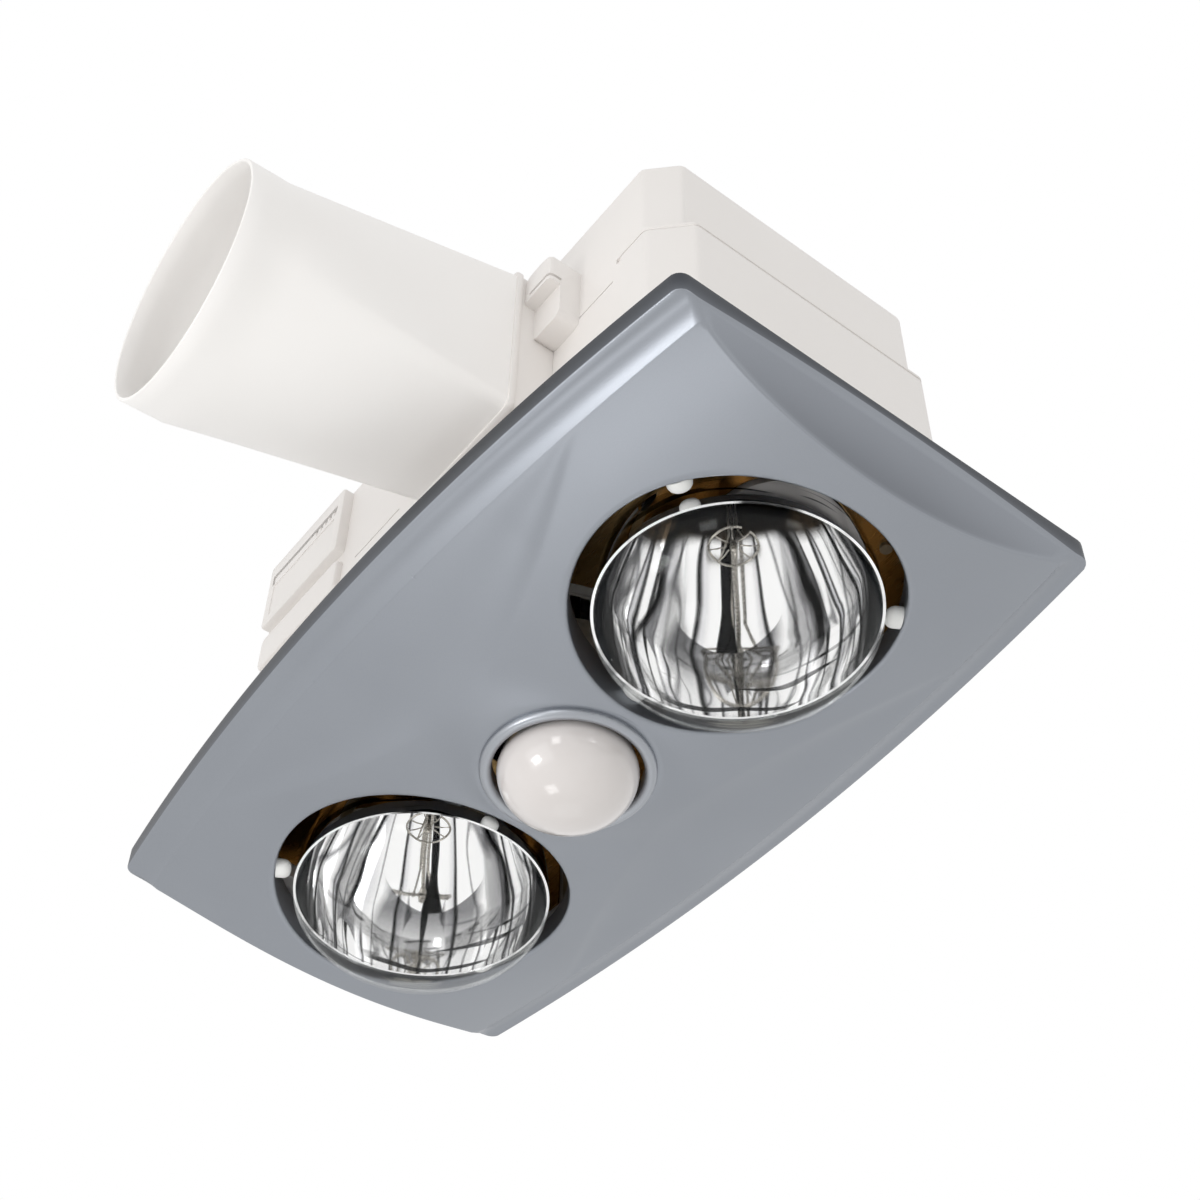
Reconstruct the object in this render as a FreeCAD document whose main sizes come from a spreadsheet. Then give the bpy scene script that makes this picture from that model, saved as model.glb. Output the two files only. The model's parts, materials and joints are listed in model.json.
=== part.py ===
import FreeCAD, Part
import math
import os

Vector = FreeCAD.Vector
X_AXIS = Vector(1, 0, 0)
Y_AXIS = Vector(0, 1, 0)
Z_AXIS = Vector(0, 0, 1)
FOUR_CORNERS = ((1, 1), (-1, 1), (-1, -1), (1, -1))
SIDES = (("right", 1), ("left", -1))
# Where the scroll's inner wall starts at the tongue and where its outer wall leaves the spiral, in degrees
SCROLL_TONGUE = 300
SCROLL_BACK = 275
# Angles round the round end of the duct that the corners of its throat run to, in degrees
DUCT_CORNERS = (-38, -26, 26, 38, 142, 154, 206, 218, 322)

# Driving dimensions, in millimetres and degrees. The ceiling plane is z = 0: a "level" or "top" is measured
# up from it and a "depth" down from it. X runs along the fascia and the duct leaves towards -Y.
DIMENSIONS = (
    ("fascia_overhang_long", 37), ("fascia_overhang_wide", 26.6), ("fascia_bow", 15.7),
    ("fascia_wall", 2.4),
    ("rim_height", 12), ("rim_mid_height", 4.5), ("end_lean_angle", 21), ("end_hollow", 2),
    ("corner_radius", 6), ("cove_width", 15), ("cove_hollow", 2.2), ("crease_depth", 16.8),
    ("crown_rise", 17.3), ("long_rise", 3.5), ("end_margin", 29), ("bridge_width", 9.8),
    ("hole_collar_wall", 2.2), ("hole_collar_depth", 16), ("light_hole_radius", 37.2),
    ("ring_outer_radius", 40.7), ("ring_inner_radius", 35), ("ring_height", 3.5), ("ring_sleeve", 6),
    ("spring_shift", 9), ("spring_width", 14), ("spring_thickness", 0.8), ("spring_top", 58),
    ("spring_bend", 50), ("spring_lean", 6), ("spring_depth", 17), ("post_width", 20), ("post_depth", 5.7),
    ("rivet_radius", 1.5), ("rivet_depth", 11), ("bumper_radius", 3.5), ("bumper_gap", 2),
    ("bumper_depth", 26), ("body_length", 366), ("body_width", 174), ("body_height", 125), ("body_wall", 2.5),
    ("body_chamfer", 17),
    ("flange_overhang_long", 23), ("flange_overhang_wide", 17), ("flange_thickness", 3),
    ("screw_edge_long", 12), ("screw_edge_wide", 20), ("screw_hole_radius", 2.75),
    ("cover_inset", 5), ("cover_height", 60), ("cover_wall", 2.5), ("cover_flange", 2.5),
    ("outlet_bracket_gap", 1), ("outlet_width", 73), ("outlet_bottom", 46), ("outlet_rise", 27),
    ("outlet_wall", 2.5), ("collar_reach", 23), ("collar_depth", 12), ("latch_width", 20),
    ("latch_height", 46), ("latch_drop", 2),
    ("duct_shift", 28.5), ("duct_level", 95), ("duct_reach", 158), ("duct_radius", 61), ("duct_wall", 2),
    ("duct_droop", 4), ("spigot_length", 22), ("duct_corner_radius", 6), ("tongue_length", 12),
    ("damper_pin_radius", 1.5), ("damper_barrel_radius", 3.2), ("damper_thickness", 1.5),
    ("damper_side_gap", 1.3), ("damper_pin_inset", 5), ("damper_stop_height", 6),
    ("shield_wall", 0.8), ("shield_gap", 2), ("shield_foot_level", 3), ("deck_level", 46),
    ("neck_hole_gap", 5.75), ("vent_width", 16), ("vent_height", 9), ("vent_spacing", 26),
    ("vent_level", 14),
    ("boss_shift", 21), ("boss_width", 12), ("boss_depth", 12), ("boss_height", 14),
    ("lamp_hole_gap", 9.5), ("lamp_wide_depth", 35), ("lamp_dome", 35), ("bracket_drop", 3),
    ("lamp_shoulder_drop", 6), ("lamp_neck_radius", 18), ("glass_wall", 1.2), ("stem_radius", 4),
    ("filament_radius", 11), ("filament_level", 10), ("wire_radius", 0.8),
    ("cap_radius", 13), ("cap_length", 24), ("holder_radius", 21), ("holder_height", 36), ("holder_rise", 2),
    ("contact_radius", 5), ("contact_thickness", 2), ("socket_clearance", 0.4),
    ("bracket_width", 40), ("bracket_thickness", 2), ("rib_width", 36), ("rib_depth", 12), ("rib_height", 22),
    ("holder_screw_spacing", 28), ("screw_radius", 1.6), ("screw_head_radius", 3), ("screw_head_height", 2),
    ("globe_radius", 32.7), ("globe_wide_depth", 38.8), ("globe_dome", 26), ("globe_top", 4),
    ("globe_neck_radius", 14), ("globe_bulge", 3), ("light_holder_radius", 19), ("light_bracket_width", 28),
    ("light_bracket_thickness", 1.5), ("light_bracket_gap", 18.5),
    ("fan_offset_x", -8), ("fan_offset_y", -5), ("impeller_radius", 44), ("impeller_inner_radius", 37),
    ("impeller_gap", 6), ("blade_count", 28), ("blade_thickness", 1.4), ("blade_pitch", 25),
    ("impeller_plate", 2), ("hub_radius", 8), ("hub_height", 14), ("scroll_tongue_gap", 6),
    ("scroll_lamp_gap", 4.75), ("scroll_wall", 2), ("scroll_rise", 20), ("inlet_radius", 36),
    ("inlet_lip", 5), ("inlet_lip_thickness", 1.5), ("clip_thickness", 1.5), ("blade_inset", 0.5),
    ("shaft_radius", 3), ("grommet_height", 3), ("grommet_radius", 5), ("motor_radius", 38),
    ("motor_plate", 2), ("stator_height", 12), ("stator_bore", 17.4), ("rotor_gap", 0.4),
    ("winding_height", 3.2), ("winding_inner", 19), ("winding_outer", 27), ("bearing_radius", 8),
    ("bearing_height", 5), ("bearing_boss_wall", 3), ("motor_bolt_spacing", 48), ("motor_bolt_radius", 2),
    ("spacer_radius", 4), ("lower_spacer", 6), ("upper_spacer", 4),
    ("terminal_length", 50), ("terminal_width", 22), ("terminal_height", 18), ("terminal_wall_gap", 15.5),
    ("terminal_ways", 5), ("terminal_cover_shift", 5), ("terminal_cover_length", 76),
    ("terminal_cover_height", 50), ("terminal_cover_depth", 6), ("terminal_cover_rise", 31),
    ("terminal_cover_wall", 2), ("gland_offset", 30), ("gland_rise", 30), ("gland_radius", 8),
    ("gland_hex", 12), ("gland_head", 6), ("gland_dome", 12), ("gland_dome_radius", 9),
    ("gland_thread", 10), ("gland_bore", 4), ("gland_nut", 5), ("cutout_radius", 8),
    ("cutout_height", 10), ("cutout_offset", 62), ("cutout_wall_gap", 22.5),
    ("fit_clearance", 0.2), ("running_clearance", 0.05), ("seat_clearance", 0.1),
)

doc = FreeCAD.newDocument("heater_fan_light")
dims = doc.addObject("Spreadsheet::Sheet", "dims")
for row, (alias, number) in enumerate(DIMENSIONS, 1):
    dims.set(f"A{row}", alias.replace("_", " "))
    dims.set(f"B{row}", str(number))
    dims.setAlias(f"B{row}", alias)
doc.recompute()


class SheetReader:
    """Reads a driving dimension from the sheet by its alias."""

    def __getattr__(self, alias):
        return float(dims.get(alias))


size = SheetReader()
subparts = []


# Outlines and solids shared by several pieces

def polygon(points):
    """Line segments round a closed outline of (x, y) points."""
    corners = [Vector(x, y, 0) for x, y in points]
    return [Part.LineSegment(a, b) for a, b in zip(corners, corners[1:] + corners[:1])]


def rectangle(centre_x, centre_y, width, height):
    x0, x1 = centre_x - width / 2, centre_x + width / 2
    y0, y1 = centre_y - height / 2, centre_y + height / 2
    return polygon(((x0, y0), (x1, y0), (x1, y1), (x0, y1)))


def circle(x, y, radius):
    return Part.Circle(Vector(x, y, 0), Z_AXIS, radius)


def housing_outline(inset, stretch=0.0):
    """The housing's plan with cut corners, drawn in by an inset and stretched on the duct side."""
    long, wide = size.body_length / 2 - inset, size.body_width / 2 - inset
    corner = size.body_length / 2 + size.body_width / 2 - size.body_chamfer - inset * math.sqrt(2)
    return polygon((
        (long, corner - long), (corner - wide, wide), (wide - corner, wide), (-long, corner - long),
        (-long, long - corner - stretch), (wide - corner, -wide - stretch),
        (corner - wide, -wide - stretch), (long, long - corner - stretch),
    ))


def tube(outer, inner, height, base):
    """A plain ring that stands on a base point."""
    return Part.makeCylinder(outer, height, base).cut(Part.makeCylinder(inner, height, base))


def turned(profile):
    """A solid of revolution about Z from a closed list of edges in the XZ plane."""
    wire = Part.Wire([edge.toShape() for edge in profile])
    return Part.Face(wire).revolve(Vector(), Z_AXIS, 360)


def on_xz(points):
    """Points of the XZ plane from (radius, height) pairs."""
    return [Vector(r, 0, z) for r, z in points]


def chain(points):
    corners = on_xz(points)
    return [Part.LineSegment(a, b) for a, b in zip(corners, corners[1:])]


def code_part(label, shape, place=Vector()):
    """A sub-part whose shape is worked out here from the sheet."""
    part = doc.addObject("Part::Feature", label)
    part.Shape = shape
    part.Placement.Base = place
    subparts.append(part)
    return part


class Bench:
    """One body made of sketched features, each bound to the sheet by an expression."""

    def __init__(self, label, place=Vector()):
        self.body = doc.addObject("PartDesign::Body", label)
        self.body.Placement.Base = place
        subparts.append(self.body)

    def sketch(self, edges, lift, role):
        plane = next(p for p in self.body.Origin.OriginFeatures if p.Role == role)
        sketch = self.body.newObject("Sketcher::SketchObject", self.body.Name + "_sketch")
        sketch.AttachmentSupport = [(plane, "")]
        sketch.MapMode = "FlatFace"
        sketch.AttachmentOffset = FreeCAD.Placement(Vector(0, 0, lift), FreeCAD.Rotation())
        sketch.addGeometry(edges, False)
        return sketch

    def pad(self, edges, length, lift=0.0, role="XY_Plane", reverse=False):
        pad = self.body.newObject("PartDesign::Pad", self.body.Name + "_pad")
        pad.Profile = self.sketch(edges, lift, role)
        pad.setExpression("Length", length)
        pad.Reversed = reverse
        doc.recompute()
        return self

    def pocket(self, edges, length, lift=0.0, role="XY_Plane", reverse=False, both=False):
        before = self.body.Shape.Volume
        pocket = self.body.newObject("PartDesign::Pocket", self.body.Name + "_pocket")
        pocket.Profile = self.sketch(edges, lift, role)
        pocket.setExpression("Length", length)
        pocket.Reversed = reverse
        pocket.Midplane = both
        doc.recompute()
        if not self.body.Shape.Volume < before:
            raise ValueError(f"{pocket.Name} cuts nothing")
        return self

    def turn(self, edges):
        turn = self.body.newObject("PartDesign::Revolution", self.body.Name + "_turn")
        turn.Profile = self.sketch(edges, 0.0, "XZ_Plane")
        turn.ReferenceAxis = (turn.Profile[0], ["V_Axis"])
        doc.recompute()
        return self


def screw(head_up, grip):
    """A pan-head screw whose head sits on z = 0 and whose shank reaches a grip beyond it."""
    head = Part.makeCylinder(size.screw_head_radius, size.screw_head_height)
    shank = Part.makeCylinder(size.screw_radius, grip, Vector(0, 0, -grip))
    solid = head.fuse(shank).removeSplitter()
    if not head_up:
        solid.rotate(Vector(), X_AXIS, 180)
    return solid


def placed(shape, places):
    """Copies of a shape at a list of places, as one group of separate solids."""
    return Part.makeCompound([shape.translated(place) for place in places])


# Levels and places that follow from the driving dimensions
half_length = size.body_length / 2 + size.fascia_overhang_long
end_half = size.body_width / 2 + size.fascia_overhang_wide
flange_length = size.body_length + 2 * size.flange_overhang_long
flange_width = size.body_width + 2 * size.flange_overhang_wide
lamp_hole_radius = (half_length - size.end_margin - size.bridge_width - size.light_hole_radius) / 2
lamp_offset = half_length - size.end_margin - lamp_hole_radius
lamp_radius = lamp_hole_radius - size.lamp_hole_gap
lamp_mid_radius = (lamp_radius + size.lamp_neck_radius) / 2
neck_hole_radius = lamp_mid_radius + size.neck_hole_gap
spring_offset = lamp_offset - size.spring_shift
boss_offset = lamp_offset + size.boss_shift
face_depth = size.crease_depth + size.crown_rise + size.long_rise
land_depth = face_depth + size.fit_clearance
inner_wide = size.body_width / 2 - size.body_wall
spring_face = inner_wide - size.fit_clearance
deck_top = size.deck_level + size.shield_wall
bracket_level = size.body_height - size.bracket_drop
lamp_top = bracket_level - size.holder_height - size.holder_rise
bracket_top = bracket_level + size.bracket_thickness
cover_front = size.body_width / 2
cover_long = size.body_length / 2 - size.cover_inset
cover_top = size.body_height + size.cover_height
outlet_right = lamp_offset - size.bracket_width / 2 - size.outlet_bracket_gap
outlet_left = outlet_right - size.outlet_width
outlet_centre = (outlet_left + outlet_right) / 2
outlet_top = size.body_height + size.outlet_rise
outlet_height = outlet_top - size.outlet_bottom
outlet_middle = size.outlet_bottom + outlet_height / 2
duct_offset = outlet_centre - size.duct_shift
joint_y = -(size.body_width / 2 + size.collar_reach)
collar_y = -(size.body_width / 2 - size.collar_depth)
screw_hole = size.screw_radius + size.seat_clearance
fan_place = Vector(size.fan_offset_x, size.fan_offset_y, 0)
scroll_top = size.body_height + size.scroll_rise
scroll_start_radius = size.impeller_radius + size.scroll_tongue_gap
scroll_room = lamp_offset - lamp_mid_radius - size.scroll_lamp_gap
scroll_end_radius = scroll_room - size.scroll_wall - size.fan_offset_x
lid_top = scroll_top + size.scroll_wall
motor_level = lid_top + size.grommet_height
stator_level = motor_level + size.motor_plate + size.lower_spacer
motor_top_level = stator_level + size.stator_height + size.upper_spacer


def spread(along, across, level=0.0):
    """The four places at plus and minus along X and across Y."""
    return [Vector(i * along, j * across, level) for i, j in FOUR_CORNERS]


# Fascia

def fascia_half_width(x):
    return end_half + size.fascia_bow * (1 - (x / half_length) ** 2)


def fascia_section(x, inset, top):
    """The fascia's outline across X: rims, hollow coves and a crowned face, drawn in by a wall."""
    edge = fascia_half_width(x) - inset
    crease = fascia_half_width(x) - size.cove_width - inset / 2
    rim = inset - size.rim_height
    fold = inset - size.crease_depth - size.long_rise * (1 - (x / half_length) ** 2)
    cove = ((edge + crease) / 2, (rim + fold) / 2 + size.cove_hollow)

    def at(y, z):
        return Vector(x, y, z)

    edges = (
        Part.LineSegment(at(edge, top), at(edge, rim)),
        Part.Arc(at(edge, rim), at(*cove), at(crease, fold)),
        Part.Arc(at(crease, fold), at(0, fold - size.crown_rise), at(-crease, fold)),
        Part.Arc(at(-crease, fold), at(-cove[0], cove[1]), at(-edge, rim)),
        Part.LineSegment(at(-edge, rim), at(-edge, top)),
        Part.LineSegment(at(-edge, top), at(edge, top)),
    )
    return Part.Wire([edge.toShape() for edge in edges])


def end_space(side, inset):
    """The space past a short end, whose hollow face leans in from a rim that is low in the middle."""
    foot_depth = face_depth + size.rim_height
    lean = (foot_depth - size.rim_mid_height) * math.tan(math.radians(size.end_lean_angle))
    out = half_length + size.rim_height
    reach = end_half + size.fascia_wall
    wires = []
    for y in (-reach, 0, reach):
        rim = size.rim_mid_height + (size.rim_height - size.rim_mid_height) * (y / end_half) ** 2 - inset
        head = (half_length - inset, -rim)
        foot = (half_length - inset - lean, -foot_depth)
        middle = ((head[0] + foot[0]) / 2 - size.end_hollow, (head[1] + foot[1]) / 2)
        corners = (head, middle, foot, (out, -foot_depth), (out, -rim))
        points = [Vector(side * px, y, pz) for px, pz in corners]
        edges = (
            Part.Arc(*points[:3]),
            Part.LineSegment(points[2], points[3]),
            Part.LineSegment(points[3], points[4]),
            Part.LineSegment(points[4], points[0]),
        )
        wires.append(Part.Wire([edge.toShape() for edge in edges]))
    return Part.makeLoft(wires, True, False)


def fascia_block(inset, top):
    """The solid bounded by the fascia's outline, drawn in by a wall, with rounded corners."""
    reach = half_length - inset
    block = Part.makeLoft([fascia_section(x, inset, top) for x in (-reach, 0, reach)], True, False)
    upright = []
    for edge in block.Edges:
        ends = [vertex.Point for vertex in edge.Vertexes]
        if len(ends) == 2 and abs(ends[0].z - ends[1].z) > size.rim_mid_height:
            if all(abs(abs(p.x) - reach) < 1e-6 and abs(p.y) > end_half - size.cove_width / 2 for p in ends):
                if abs(ends[0].y - ends[1].y) < 1e-6:
                    upright.append(edge)
    block = block.makeFillet(size.corner_radius - inset, upright)
    for side in (1, -1):
        block = block.cut(end_space(side, inset))
    return block


def make_fascia():
    deep = land_depth + size.rim_height
    land_radius = size.ring_outer_radius + size.fascia_wall
    land = Part.makeCylinder(land_radius, size.fascia_wall, Vector(0, 0, -land_depth))
    shell = fascia_block(0, 0).fuse(land)
    hollow = fascia_block(size.fascia_wall, size.fascia_wall)
    for side in (1, -1):
        axis = Vector(side * lamp_offset, 0, -deep)
        collar = lamp_hole_radius + size.hole_collar_wall
        hollow = hollow.cut(Part.makeCylinder(collar, deep - size.hole_collar_depth, axis))
    post_y = spring_face + size.post_depth / 2
    post_height = deep - size.flange_thickness
    for place in spread(spring_offset, post_y, -deep):
        corner = place - Vector(size.post_width / 2, size.post_depth / 2, 0)
        hollow = hollow.cut(Part.makeBox(size.post_width, size.post_depth, post_height, corner))
    shell = shell.cut(hollow)
    for side in (1, -1):
        axis = Vector(side * lamp_offset, 0, -deep)
        shell = shell.cut(Part.makeCylinder(lamp_hole_radius, deep, axis))
    shell = shell.cut(Part.makeCylinder(size.light_hole_radius, deep, Vector(0, 0, -deep)))
    hole = size.rivet_radius + size.seat_clearance
    for i, j in FOUR_CORNERS:
        start = Vector(i * spring_offset, j * spring_face, -size.rivet_depth)
        shell = shell.cut(Part.makeCylinder(hole, size.post_depth / 2, start, Y_AXIS * j))
    code_part("fascia", shell.removeSplitter())


def make_light_ring():
    """The rounded bezel that lies on the fascia's flat land, with a sleeve through the light hole."""
    inner, outer = size.ring_inner_radius, size.ring_outer_radius
    sleeve = size.light_hole_radius - size.fit_clearance
    land, top = -land_depth, size.ring_sleeve - land_depth
    edges = [Part.LineSegment(Vector(*a, 0), Vector(*b, 0)) for a, b in (
        ((inner, land), (inner, top)), ((inner, top), (sleeve, top)),
        ((sleeve, top), (sleeve, land)), ((sleeve, land), (outer, land)),
    )]
    low = Vector((inner + outer) / 2, land - size.ring_height, 0)
    edges.append(Part.Arc(Vector(outer, land, 0), low, Vector(inner, land, 0)))
    Bench("light_ring").turn(edges)


def make_fascia_springs():
    """Bent steel strips, one on each post, that rise beside the housing's walls."""
    thick = size.spring_thickness
    tip = spring_face - size.spring_lean
    outline = (
        (spring_face, -size.spring_depth), (spring_face, size.spring_bend), (tip, size.spring_top),
        (tip - thick, size.spring_top), (spring_face - thick, size.spring_bend),
        (spring_face - thick, -size.spring_depth),
    )
    hole = size.rivet_radius + size.seat_clearance
    rivet_length = size.post_depth / 2 - size.seat_clearance
    springs, rivets = [], []
    for i, j in FOUR_CORNERS:
        x = i * spring_offset
        corners = [Vector(x - size.spring_width / 2, j * y, z) for y, z in outline]
        face = Part.Face(Part.makePolygon(corners + corners[:1]))
        strip = face.extrude(X_AXIS * size.spring_width)
        seat = Vector(x, j * (spring_face - thick), -size.rivet_depth)
        springs.append(strip.cut(Part.makeCylinder(hole, 2 * thick, seat, Y_AXIS * j)))
        shank = Part.makeCylinder(size.rivet_radius, thick + rivet_length, seat, Y_AXIS * j)
        head = Part.makeCylinder(2 * size.rivet_radius, size.rivet_radius / 2, seat, Y_AXIS * -j)
        rivets.append(shank.fuse(head).removeSplitter())
    code_part("fascia_springs", Part.makeCompound(springs))
    code_part("spring_rivets", Part.makeCompound(rivets))


def make_bumpers():
    """Round-ended pegs that point in from each lamp hole's collar, one of them towards the middle."""
    tip = lamp_radius + size.bumper_gap
    seat = lamp_hole_radius - size.seat_clearance
    pegs = []
    for side in (1, -1):
        for turn in (0, 120, 240):
            angle = math.radians(turn + (180 if side > 0 else 0))
            out = Vector(math.cos(angle), math.sin(angle), 0)
            axis = Vector(side * lamp_offset, 0, -size.bumper_depth)
            start = axis + out * (tip + size.bumper_radius)
            rod = Part.makeCylinder(size.bumper_radius, seat - tip - size.bumper_radius, start, out)
            pegs.append(rod.fuse(Part.makeSphere(size.bumper_radius, start)).removeSplitter())
    code_part("lamp_bumpers", Part.makeCompound(pegs))


# Housing

def make_ceiling_flange():
    """The flat frame round the foot of the lower box, screwed up against the ceiling board."""
    bench = Bench("ceiling_flange", Vector(0, 0, -size.flange_thickness))
    bench.pad(rectangle(0, 0, flange_length, flange_width), "dims.flange_thickness")
    openings = housing_outline(0)
    for place in spread(flange_length / 2 - size.screw_edge_long, flange_width / 2 - size.screw_edge_wide):
        openings.append(circle(place.x, place.y, size.screw_hole_radius))
    bench.pocket(openings, "dims.flange_thickness", reverse=True)


def make_housing_body():
    """The lower box, with ribs for the lamp brackets and bosses for the heat shield."""
    bench = Bench("housing_body")
    height = "dims.body_height + dims.flange_thickness"
    bench.pad(housing_outline(0), height, -size.flange_thickness)
    bench.pocket(housing_outline(size.body_wall), height, size.body_height)
    ribs, bosses, rib_holes, boss_holes = [], [], [], []
    rib_y = inner_wide - size.rib_depth / 2 + size.body_wall / 4
    boss_y = inner_wide - size.boss_depth / 2 + size.body_wall / 4
    for place in spread(lamp_offset, rib_y):
        ribs += rectangle(place.x, place.y, size.rib_width, size.rib_depth + size.body_wall / 2)
    for place in spread(boss_offset, boss_y):
        bosses += rectangle(place.x, place.y, size.boss_width, size.boss_depth + size.body_wall / 2)
    bench.pad(ribs, "dims.rib_height", bracket_level - size.rib_height)
    bench.pad(bosses, "dims.boss_height", deck_top)
    for place in spread(lamp_offset, bracket_screw_y()):
        rib_holes.append(circle(place.x, place.y, screw_hole))
    for place in spread(boss_offset, boss_screw_y()):
        boss_holes.append(circle(place.x, place.y, screw_hole))
    bench.pocket(rib_holes, "dims.rib_height / 2", bracket_level)
    bench.pocket(boss_holes, "dims.boss_height * 3 / 4", deck_top, reverse=True)
    opening_height = size.body_height - size.outlet_bottom + 2 * size.fit_clearance
    opening = rectangle(
        outlet_centre, size.outlet_bottom - size.fit_clearance + opening_height / 2,
        size.outlet_width + 2 * size.fit_clearance, opening_height,
    )
    bench.pocket(opening, "dims.body_wall * 2", size.body_width / 2, role="XZ_Plane")


def bracket_screw_y():
    return inner_wide - size.rib_depth * 2 / 3


def boss_screw_y():
    return inner_wide - size.boss_depth * 2 / 3


def make_housing_cover():
    """The upper box, flush on the duct side, open for the outlet, the terminals and the cable gland."""
    bench = Bench("housing_cover", Vector(0, 0, size.body_height))
    bench.pad(housing_outline(0), "dims.cover_flange")
    bench.pad(housing_outline(size.cover_inset, size.cover_inset), "dims.cover_height")
    inside = housing_outline(size.cover_inset + size.cover_wall, size.cover_inset)
    bench.pocket(inside, "dims.cover_height - dims.cover_wall", reverse=True)
    opening_height = outlet_top - size.body_height + 2 * size.fit_clearance
    opening = rectangle(
        outlet_centre, opening_height / 2 - size.fit_clearance,
        size.outlet_width + 2 * size.fit_clearance, opening_height,
    )
    bench.pocket(opening, "dims.cover_wall * 2", cover_front, role="XZ_Plane")
    window = rectangle(
        -lamp_offset - size.terminal_cover_shift, size.terminal_cover_rise,
        size.terminal_cover_length * 2 / 3, size.terminal_cover_height * 2 / 3,
    )
    bench.pocket(window, "dims.cover_wall * 2", cover_front, role="XZ_Plane")
    entry_radius = size.gland_radius + size.fit_clearance
    entry = [circle(-size.gland_offset, size.gland_rise, entry_radius)]
    bench.pocket(entry, "dims.cover_wall * 2", -cover_long, role="YZ_Plane", reverse=True)


def make_outlet_collar():
    """The rectangular neck between the fan and the duct, held between the two housing halves."""
    bench = Bench("outlet_collar")
    wall = size.outlet_wall
    length = "dims.collar_reach + dims.collar_depth"
    outside = rectangle(outlet_centre, outlet_middle, size.outlet_width, outlet_height)
    bench.pad(outside, length, -collar_y, role="XZ_Plane")
    width, height = size.outlet_width - 2 * wall, outlet_height - 2 * wall
    inside = rectangle(outlet_centre, outlet_middle, width, height)
    bench.pocket(inside, length, -joint_y, role="XZ_Plane")
    floor = size.outlet_bottom + wall
    stop = rectangle(
        outlet_centre, floor + size.damper_stop_height / 2 - wall / 4,
        size.outlet_width - wall, size.damper_stop_height + wall / 2,
    )
    stop_y = damper_y() + size.damper_thickness / 2 + size.fit_clearance
    bench.pad(stop, "dims.damper_thickness", -stop_y, role="XZ_Plane", reverse=True)
    latch = rectangle(
        outlet_right + size.latch_width / 2 - wall / 2, outlet_top - size.latch_drop - size.latch_height / 2,
        size.latch_width + wall, size.latch_height,
    )
    bench.pad(latch, "dims.collar_reach - dims.outlet_wall * 2", size.body_width / 2, role="XZ_Plane")
    pin_holes = [circle(damper_y(), damper_level(), size.damper_pin_radius + size.fit_clearance / 10)]
    bench.pocket(pin_holes, "dims.outlet_width", outlet_left, role="YZ_Plane", reverse=True)


def damper_y():
    return joint_y + size.tongue_length + size.damper_barrel_radius * 2


def damper_level():
    return outlet_top - size.outlet_wall - size.damper_pin_inset


def duct_ring(radius, back):
    """A circle of eight arcs round the drooping spigot's axis, a distance back from its mouth."""
    droop = math.radians(size.duct_droop)
    mouth = Vector(duct_offset, -size.body_width / 2 - size.duct_reach, size.duct_level)
    centre = mouth + Vector(0, math.cos(droop), math.sin(droop)) * back
    up = Vector(0, -math.sin(droop), math.cos(droop))

    def at(angle):
        turn = math.radians(angle)
        return centre + (X_AXIS * math.cos(turn) + up * math.sin(turn)) * radius

    spans = zip(DUCT_CORNERS, DUCT_CORNERS[1:])
    return Part.Wire([Part.Arc(at(a), at((a + b) / 2), at(b)).toShape() for a, b in spans])


def duct_throat(inset):
    """The rounded rectangle where the duct meets the collar, drawn in by a wall."""
    long, high = size.outlet_width / 2 - inset, outlet_height / 2 - inset
    radius = size.duct_corner_radius - inset
    edges = []
    for (i, j), flat_first in zip(((1, -1), (1, 1), (-1, 1), (-1, -1)), (False, True, False, True)):
        heart = Vector(i * (long - radius), 0, j * (high - radius))
        along, upward = heart + X_AXIS * (i * radius), heart + Z_AXIS * (j * radius)
        middle = heart + (X_AXIS * i + Z_AXIS * j) * (radius / math.sqrt(2))
        start, end = (along, upward) if flat_first else (upward, along)
        edges.append(((start, middle, end)))
    shift = Vector(outlet_centre, joint_y, outlet_middle)
    pieces = []
    for corner, following in zip(edges, edges[1:] + edges[:1]):
        start, middle, end = (point + shift for point in corner)
        pieces.append(Part.Arc(start, middle, end).toShape())
        pieces.append(Part.LineSegment(end, following[0] + shift).toShape())
    return Part.Wire(pieces)


def duct_solid(inset, overrun):
    """The duct's transition and round spigot; an overrun lengthens the spigot past its mouth."""
    radius = size.duct_radius - inset
    transition = Part.makeLoft([duct_throat(inset), duct_ring(radius, size.spigot_length)], True, True)
    droop = math.radians(size.duct_droop)
    out = Vector(0, -math.cos(droop), -math.sin(droop))
    mouth = Vector(duct_offset, -size.body_width / 2 - size.duct_reach, size.duct_level)
    spigot = Part.makeCylinder(radius, size.spigot_length + overrun, mouth - out * size.spigot_length, out)
    return transition.fuse(spigot)


def make_duct_adaptor():
    """The tapering duct: a rectangular throat with a tongue in the collar, opening out to a round spigot."""
    wall = size.duct_wall
    shell = duct_solid(0, 0).cut(duct_solid(wall, wall))
    seat = size.outlet_wall + size.fit_clearance
    width, height = size.outlet_width - 2 * seat, outlet_height - 2 * seat
    corner = Vector(outlet_left + seat, joint_y - wall, size.outlet_bottom + seat)
    tongue = Part.makeBox(width, size.tongue_length + wall, height, corner)
    start = corner + Vector(wall, -wall, wall)
    bore = Part.makeBox(width - 2 * wall, size.tongue_length + 4 * wall, height - 2 * wall, start)
    code_part("duct_adaptor", shell.fuse(tongue).cut(bore).removeSplitter())


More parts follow.
